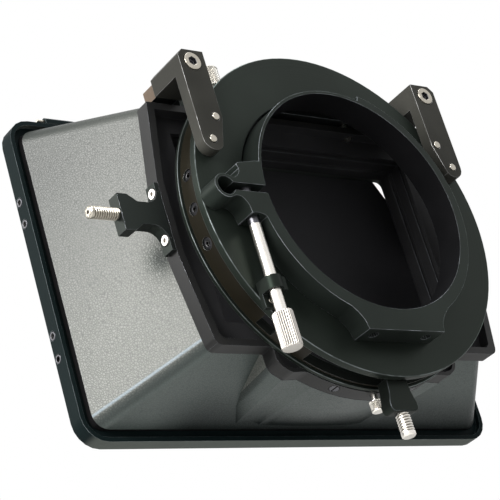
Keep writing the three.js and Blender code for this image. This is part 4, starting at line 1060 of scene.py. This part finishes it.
for node in ("guide_screw", "flag_pin"):
    machined(node, [warm_steel], SMALL_BEVEL)

# %% [markdown]
# ## Knurled heads
# A knurl is a pattern of small ridges rolled into a head so that fingers grip it. A bump could draw
# it, but its ridges show at the head's outline. So the head is spun from its profile, with enough
# columns round it and rows along it for the pattern, and the points between the ridges are moved in
# towards the axis. On the clamp's knob the ridges are straight, two columns high and two low. On
# the screws they cross, so high and low points alternate like the squares of a chessboard, and each
# square is cut along its low corners to leave small pyramids.

# %% Helpers for knurled heads
TINY_SMOOTH = math.radians(14)
STRAIGHT_COLUMNS = 4


def spin_profile(profile, columns):
    bm = bmesh.new()
    groove = bm.verts.layers.float.new(GROOVE_MARK)
    line = [bm.verts.new((radius, 0, height)) for radius, height in profile]
    edges = [bm.edges.new(pair) for pair in zip(line, line[1:])]
    for vert in line:
        vert[groove] = 0.0
    bmesh.ops.spin(
        bm, geom=line + edges, cent=(0, 0, 0), axis=(0, 0, 1),
        angle=math.tau, steps=columns, use_merge=True,
    )
    bmesh.ops.remove_doubles(bm, verts=bm.verts, dist=WELD)
    bmesh.ops.recalc_face_normals(bm, faces=bm.faces)
    return bm


def even_heights(low, high, rows):
    return [low + (high - low) * row / rows for row in range(rows + 1)]


def press_knurl(bm, radius, heights, columns, depth, is_low):
    groove = bm.verts.layers.float[GROOVE_MARK]
    step = (heights[-1] - heights[0]) / (len(heights) - 1)
    for vert in bm.verts:
        reach = math.hypot(vert.co.x, vert.co.y)
        if reach < radius - WELD or not heights[0] - WELD < vert.co.z < heights[-1] + WELD:
            continue
        column = round(math.atan2(vert.co.y, vert.co.x) * columns / math.tau)
        row = round((vert.co.z - heights[0]) / step)
        if is_low(column, row):
            vert.co.x *= 1 - depth / radius
            vert.co.y *= 1 - depth / radius
            vert[groove] = 1.0


def straight_low(column, row):
    return column % STRAIGHT_COLUMNS >= STRAIGHT_COLUMNS / 2


def crossed_low(rows):
    return lambda column, row: 0 < row < rows and (column + row) % 2 == 1


def cut_along_valleys(bm, radius):
    squares = [
        face
        for face in bm.faces
        if len(face.verts) == 4
        and abs(face.normal.z) < SIDE_LEAST
        and math.hypot(*face.calc_center_median().xy) > radius
    ]
    bmesh.ops.triangulate(bm, faces=squares, quad_method="SHORT_EDGE")


def place_along(bm, direction, place):
    turn = UPWARD.rotation_difference(direction).to_matrix()
    bmesh.ops.rotate(bm, verts=bm.verts, cent=(0, 0, 0), matrix=turn)
    bmesh.ops.translate(bm, verts=bm.verts, vec=place)


print("knurling helpers ready")

# %% [markdown]
# ## The clamp's knob
# The knob is a short cylinder with straight knurling and rounded ends, and the screw's shaft goes
# into a bore in its top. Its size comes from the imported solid's box, so it fills the same place.

# %% Clamp knob
KNOB_TEETH = 28
KNOB_DEPTH = 0.45 * mm
KNOB_EDGE = 0.9 * mm
KNOB_EDGE_SHARES = (0.3, 0.7)
KNOB_BORE = 2.9 * mm
KNOB_BORE_DEPTH = 8 * mm

knob_low, knob_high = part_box("clamp_knob")
knob_middle = middle_of("clamp_knob")
knob_radius = (knob_high[0] - knob_low[0]) / 2
knob_length = knob_high[2] - knob_low[2]
knob_heights = even_heights(KNOB_EDGE, knob_length - KNOB_EDGE, 1)
knob_turn, knob_round = (KNOB_EDGE * share for share in KNOB_EDGE_SHARES)
knob_profile = [
    (0, 0),
    (knob_radius - knob_round, 0),
    (knob_radius - knob_turn, knob_turn),
    *((knob_radius, height) for height in knob_heights),
    (knob_radius - knob_turn, knob_length - knob_turn),
    (knob_radius - KNOB_EDGE, knob_length),
    (KNOB_BORE, knob_length),
    (KNOB_BORE, knob_length - KNOB_BORE_DEPTH),
    (0, knob_length - KNOB_BORE_DEPTH),
]
knob_columns = KNOB_TEETH * STRAIGHT_COLUMNS
knob_bm = spin_profile(knob_profile, knob_columns)
press_knurl(knob_bm, knob_radius, knob_heights, knob_columns, KNOB_DEPTH, straight_low)
place_along(knob_bm, UPWARD, (knob_middle.x, knob_middle.y, knob_low[2]))
finish_piece(knob_bm, "clamp_knob", [knob_steel])

# %% [markdown]
# ## The clamp screw
# The screw's shaft is bright between the lug and the knob, and its top turns dark where it enters
# the lug. A mask would blur that border, so the dark stretch is split off by a cut across the
# shaft, and the faces above the cut take the dark finish.

# %% Clamp screw
SHAFT_DARK_BELOW_TOP = 25.5 * mm
SHAFT_BEVEL = 0.3 * mm

shaft_bm = copy_of_node("clamp_screw")
dark_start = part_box("clamp_screw")[1][2] - SHAFT_DARK_BELOW_TOP
bmesh.ops.bisect_plane(
    shaft_bm, geom=whole(shaft_bm), plane_co=(0, 0, dark_start), plane_no=(0, 0, 1)
)
bevel_sharp_edges(shaft_bm, SHAFT_BEVEL)
for face in shaft_bm.faces:
    face.material_index = 1 if face.calc_center_median().z > dark_start else 0
finish_piece(shaft_bm, "clamp_screw", [bright_steel, dark_steel_and_shade])
print("clamp screw: dark above", round(dark_start / mm, 1), "mm")

# %% [markdown]
# ## The bar's thumb screws
# Each thumb screw has a shank, a wider neck and a head with a crossed knurl. One profile holds all
# three, so one spin makes the whole screw without a seam. The neck ends just above the bar's face.

# %% Thumb screws of the bar
THUMB_HEAD = 11.4 * mm
THUMB_NECK = 4.34 * mm
THUMB_NECK_RADIUS = 3.1 * mm
THUMB_SHANK_RADIUS = 2 * mm
THUMB_EDGE = 0.8 * mm
THUMB_COLUMNS = 56
THUMB_ROWS = 18
CROSSED_DEPTH = 0.42 * mm


def crossed_head(radius, low, high, edge, rows):
    heights = even_heights(low + edge, high - edge, rows)
    profile = [(radius - edge, low)]
    profile += [(radius, height) for height in heights]
    profile += [(radius - edge, high), (0, high)]
    return heights, profile


def crossed_screw(profile, radius, heights, columns, rows):
    bm = spin_profile(profile, columns)
    press_knurl(bm, radius, heights, columns, CROSSED_DEPTH, crossed_low(rows))
    cut_along_valleys(bm, radius - CROSSED_DEPTH)
    return bm


for side in ("left", "right"):
    node = "bar_thumb_screw_" + side
    thumb_low, thumb_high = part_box(node)
    thumb_middle = middle_of(node)
    radius = (thumb_high[0] - thumb_low[0]) / 2
    top = thumb_high[2] - thumb_low[2]
    head_low = top - THUMB_HEAD
    neck_low = head_low - THUMB_NECK
    heights, head = crossed_head(radius, head_low, top, THUMB_EDGE, THUMB_ROWS)
    profile = [(0, 0), (THUMB_SHANK_RADIUS, 0), (THUMB_SHANK_RADIUS, neck_low)]
    profile += [(THUMB_NECK_RADIUS, neck_low), (THUMB_NECK_RADIUS, head_low), *head]
    thumb_bm = crossed_screw(profile, radius, heights, THUMB_COLUMNS, THUMB_ROWS)
    place_along(thumb_bm, UPWARD, (thumb_middle.x, thumb_middle.y, thumb_low[2]))
    finish_piece(thumb_bm, node, [knurled_steel], TINY_SMOOTH)

# %% [markdown]
# ## The lock screw
# A small screw under the housing's lip holds the stage at its angle. It is a thumb screw without a
# neck, and its head hangs down. So it is spun upright like the others and then turned over.

# %% Lock screw under the lip
LOCK_HEAD = 5.6 * mm
LOCK_SHANK_RADIUS = 1.6 * mm
LOCK_EDGE = 0.5 * mm
LOCK_COLUMNS = 40
LOCK_ROWS = 9

lock_low, lock_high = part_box("lock_screw")
lock_middle = middle_of("lock_screw")
lock_radius = (lock_high[0] - lock_low[0]) / 2
lock_length = lock_high[2] - lock_low[2]
lock_neck = lock_length - LOCK_HEAD
lock_heights, lock_head = crossed_head(lock_radius, lock_neck, lock_length, LOCK_EDGE, LOCK_ROWS)
lock_profile = [(0, 0), (LOCK_SHANK_RADIUS, 0), (LOCK_SHANK_RADIUS, lock_neck), *lock_head]
lock_bm = crossed_screw(lock_profile, lock_radius, lock_heights, LOCK_COLUMNS, LOCK_ROWS)
place_along(lock_bm, DOWNWARD, (lock_middle.x, lock_middle.y, lock_high[2]))
finish_piece(lock_bm, "lock_screw", [knurled_steel], TINY_SMOOTH)
print("lock screw length:", round(lock_length / mm, 1), "mm")

# %% [markdown]
# ## Threaded studs
# A thread is one groove that climbs round the stud. Rings in a row would look like it from afar but
# don't climb. Spin does that when it is given a step along the axis as well: a short profile, from
# one groove's bottom over the ridge to the next bottom, climbs by one pitch each turn and meets
# itself. Both ends are then cut flat and closed, and the plain stretches at the base and the tip are
# turned down to their own radius.

# %% Helpers for threads
THREAD_STEPS = 32
CREST_SHARES = (0.38, 0.62)


def cut_across(bm, height, keep_above=False, keep_below=False):
    bmesh.ops.bisect_plane(
        bm, geom=whole(bm), dist=WELD, plane_co=(0, 0, height), plane_no=(0, 0, 1),
        clear_inner=keep_above, clear_outer=keep_below,
    )


def threaded_rod(crest, root, pitch, low, high):
    bm = bmesh.new()
    groove = bm.verts.layers.float.new(GROOVE_MARK)
    start = low - pitch
    turns = math.ceil((high - start) / pitch) + 1
    ridge = [(crest, share, 0.0) for share in CREST_SHARES]
    line = []
    for radius, share, mark in [(root, 0, 1.0), *ridge, (root, 1, 1.0)]:
        vert = bm.verts.new((radius, 0, start + share * pitch))
        vert[groove] = mark
        line.append(vert)
    edges = [bm.edges.new(pair) for pair in zip(line, line[1:])]
    bmesh.ops.spin(
        bm, geom=line + edges, cent=(0, 0, 0), axis=(0, 0, 1), dvec=(0, 0, pitch / THREAD_STEPS),
        angle=math.tau * turns, steps=THREAD_STEPS * turns, use_merge=False,
    )
    bmesh.ops.remove_doubles(bm, verts=bm.verts, dist=WELD)
    cut_across(bm, low, keep_above=True)
    cut_across(bm, high, keep_below=True)
    open_edges = [edge for edge in bm.edges if edge.is_boundary]
    bmesh.ops.holes_fill(bm, edges=open_edges, sides=0)
    bmesh.ops.recalc_face_normals(bm, faces=bm.faces)
    return bm


def turn_plain(bm, low, high, radius_low, radius_high):
    groove = bm.verts.layers.float[GROOVE_MARK]
    for height in (low, high):
        cut_across(bm, height)
    for vert in bm.verts:
        if low - WELD < vert.co.z < high + WELD:
            share = (vert.co.z - low) / (high - low)
            radius = radius_low + (radius_high - radius_low) * share
            shrink = radius / math.hypot(vert.co.x, vert.co.y)
            vert.co.x *= shrink
            vert.co.y *= shrink
            vert[groove] = 0.0


print("thread helpers ready")

# %% [markdown]
# ## A socket in a stud's end
# The side stud has a small six-sided socket in its end, to screw it in. A boolean would cut it, but
# it often leaves thin slivers on a thread. The end face is taken out instead, a six-sided mouth is
# bridged to its rim, and the mouth's edges are drawn down and closed.

# %% Helper for the socket
SOCKET_SIDES = 6
SOCKET_DEPTH = 2.5 * mm


def sink_socket(bm, height, radius):
    end = [
        face
        for face in bm.faces
        if face.normal.z > END_FACING and face.calc_center_median().z > height - WELD
    ]
    rim = [edge for face in end for edge in face.edges if edge.calc_face_angle(0.0) > FLAT]
    bmesh.ops.delete(bm, geom=end, context="FACES_ONLY")
    mouth = bmesh.ops.create_circle(
        bm, cap_ends=False, radius=radius, segments=SOCKET_SIDES,
        matrix=Matrix.Translation((0, 0, height)),
    )
    mouth_edges = list({edge for vert in mouth["verts"] for edge in vert.link_edges})
    bmesh.ops.bridge_loops(bm, edges=rim + mouth_edges)
    wall = bmesh.ops.extrude_edge_only(bm, edges=mouth_edges)["geom"]
    floor_verts = [item for item in wall if isinstance(item, bmesh.types.BMVert)]
    floor_edges = [item for item in wall if isinstance(item, bmesh.types.BMEdge)]
    bmesh.ops.translate(bm, verts=floor_verts, vec=(0, 0, -SOCKET_DEPTH))
    open_edges = [edge for edge in floor_edges if edge.is_boundary]
    bmesh.ops.holes_fill(bm, edges=open_edges, sides=0)
    bmesh.ops.recalc_face_normals(bm, faces=bm.faces)
    # the socket's deep faces take the second finish, a painted shade
    for face in bm.faces:
        centre = face.calc_center_median()
        is_deep = height - SOCKET_DEPTH - WELD < centre.z < height - WELD
        face.material_index = 1 if is_deep and math.hypot(*centre.xy) < radius else 0


print("socket helper ready")

# %% [markdown]
# ## The two accessory studs
# One stud points down from the lower lug and one to the left from the side bracket. Each is sunk
# into what carries it on a thinner shank, so its thread starts just inside the face it leaves. Both
# are made upright, with that start at height zero, and then turned into place.

# %% Lower stud and side stud
STUD_SUNK = 8 * mm
THREAD_INSIDE = 0.3 * mm
STUD_THREAD_SHARE = 0.62
SHANK_END = -4 * WELD


def make_stud(node, way, finish, crest, shank, pitch, plain_base, plain_tip, socket=0):
    low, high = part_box(node)
    along = abs((Vector(high) - Vector(low)).dot(way))
    reach = along - STUD_SUNK + THREAD_INSIDE
    root = crest - pitch * STUD_THREAD_SHARE
    sunk_end = THREAD_INSIDE - STUD_SUNK
    tip_edge = pitch / 2
    bm = threaded_rod(crest, root, pitch, sunk_end, reach)
    turn_plain(bm, sunk_end, SHANK_END, shank, shank)
    turn_plain(bm, 0, plain_base, root, root)
    turn_plain(bm, reach - plain_tip, reach - tip_edge, crest, crest)
    turn_plain(bm, reach - tip_edge, reach, crest, crest - tip_edge)
    if socket:
        sink_socket(bm, reach, socket)
    middle = middle_of(node)
    place_along(bm, way, middle + way * (reach_of(node, way) - middle.dot(way) - reach))
    finish_piece(bm, node, [finish, socket_shade_steel])
    print(node, "reach", round(reach / mm, 1), "mm")


make_stud(
    "lower_stud", DOWNWARD, bright_steel, crest=3.3 * mm, shank=2.3 * mm, pitch=1.27 * mm,
    plain_base=0.6 * mm, plain_tip=2.2 * mm,
)
make_stud(
    "side_stud", TO_LEFT, warm_steel, crest=2.9 * mm, shank=1.9 * mm, pitch=1.2 * mm,
    plain_base=0.5 * mm, plain_tip=1.4 * mm, socket=1.05 * mm,
)

# %% [markdown]
# ## The hood
# The hood is a moulded shell. Outside it has the grained skin, inside it is dull black. Its large
# walls are single flat faces, and to shape a detail in one, it first needs points there. Bisecting
# only the chosen faces adds them and leaves the other walls as they are.

# %% Hood shell and its helpers
HOOD_BEVEL = 0.5 * mm

hood_low, hood_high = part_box("hood_shell")
hood_bm = copy_of_node("hood_shell")
bevel_sharp_edges(hood_bm, HOOD_BEVEL)


def is_outside(face):
    centre = face.calc_center_median()
    return face.normal.dot(Vector((centre.x, 0, centre.z))) > 0


def is_left_wall(face):
    return face.normal.x > END_FACING and face.calc_center_median().x > 0


def cut_faces(bm, chosen, place, normal):
    faces = [face for face in bm.faces if chosen(face)]
    edges = list({edge for face in faces for edge in face.edges})
    verts = list({vert for face in faces for vert in face.verts})
    bmesh.ops.bisect_plane(
        bm, geom=verts + edges + faces, dist=WELD, plane_co=place, plane_no=normal
    )
    bm.normal_update()


print("hood faces before its details:", len(hood_bm.faces))

# %% [markdown]
# ## The hollow in the hood's left side
# Under the bracket the wall is pressed in, as if by a thumb, at the place where the skin's painted
# shade already lies. Cuts both ways lay a fine net over it, and each point moves in by a smooth bowl
# that is deepest in the middle. A bump would darken the place but leave its outline flat. Near the
# shell's rear edge the bowl fades out, so that the edge stays straight.

# %% Hollow
HOLLOW_DEPTH = 1.5 * mm
HOLLOW_STEPS = 18
HOLLOW_FADE = 3 * mm

for step in range(HOLLOW_STEPS + 1):
    shift = HOLLOW_REACH * (2 * step / HOLLOW_STEPS - 1)
    cut_faces(hood_bm, is_left_wall, HOLLOW_PLACE + Vector((0, shift, 0)), (0, 1, 0))
    cut_faces(hood_bm, is_left_wall, HOLLOW_PLACE + Vector((0, 0, shift)), (0, 0, 1))

hollow_verts = {vert for face in hood_bm.faces if is_left_wall(face) for vert in face.verts}
for vert in hollow_verts:
    away = math.hypot(vert.co.y - HOLLOW_PLACE.y, vert.co.z - HOLLOW_PLACE.z) / HOLLOW_REACH
    from_edge = min(1.0, (hood_high[1] - vert.co.y) / HOLLOW_FADE)
    if away < 1 and from_edge > 0:
        vert.co.x -= HOLLOW_DEPTH * (1 - away * away) ** 2 * from_edge
print("points in the hollow's wall:", len(hollow_verts))

# %% [markdown]
# ## The hood's front band
# Along the front the skin ends, and the shell steps down to a narrow band that slips under the rim.
# The band is painted black, a painted shade for the gap under the rim. Two cuts close together give
# the step's slanted face. The points in front of it move straight in, along X on the side walls and
# along Z on the upper and lower ones.

# %% Front band and the hood's finishes
BAND_WIDTH = 2.5 * mm
BAND_STEP = 1.2 * mm
STEP_SLOPE = 0.3 * mm

band_start = hood_low[1] + BAND_WIDTH
for start in (band_start, band_start - STEP_SLOPE):
    cut_faces(hood_bm, is_outside, (0, start, 0), (0, 1, 0))


def in_band(face):
    return is_outside(face) and face.calc_center_median().y < band_start


front_verts = {
    vert
    for face in hood_bm.faces
    if in_band(face)
    for vert in face.verts
    if vert.co.y < band_start - STEP_SLOPE / 2
}
for vert in front_verts:
    is_side = abs(vert.co.x) / hood_high[0] > abs(vert.co.z) / hood_high[2]
    side = TO_LEFT if is_side else UPWARD
    vert.co -= side * math.copysign(BAND_STEP, vert.co.dot(side))
hood_bm.normal_update()
for face in hood_bm.faces:
    if not is_outside(face):
        face.material_index = 1
    # the band takes the bore's black, a painted shade for the gap under the rim
    elif in_band(face):
        face.material_index = 2
    else:
        face.material_index = 0
hood_finishes = [grained_skin, black_inside, bore_black_and_gap_shade]
finish_piece(hood_bm, "hood_shell", hood_finishes, name="hood_finished")

# %% [markdown]
# ## The view transform
# The colours are shown through Blender's Standard view transform.

# %% Finish
bpy.context.scene.view_settings.view_transform = "Standard"
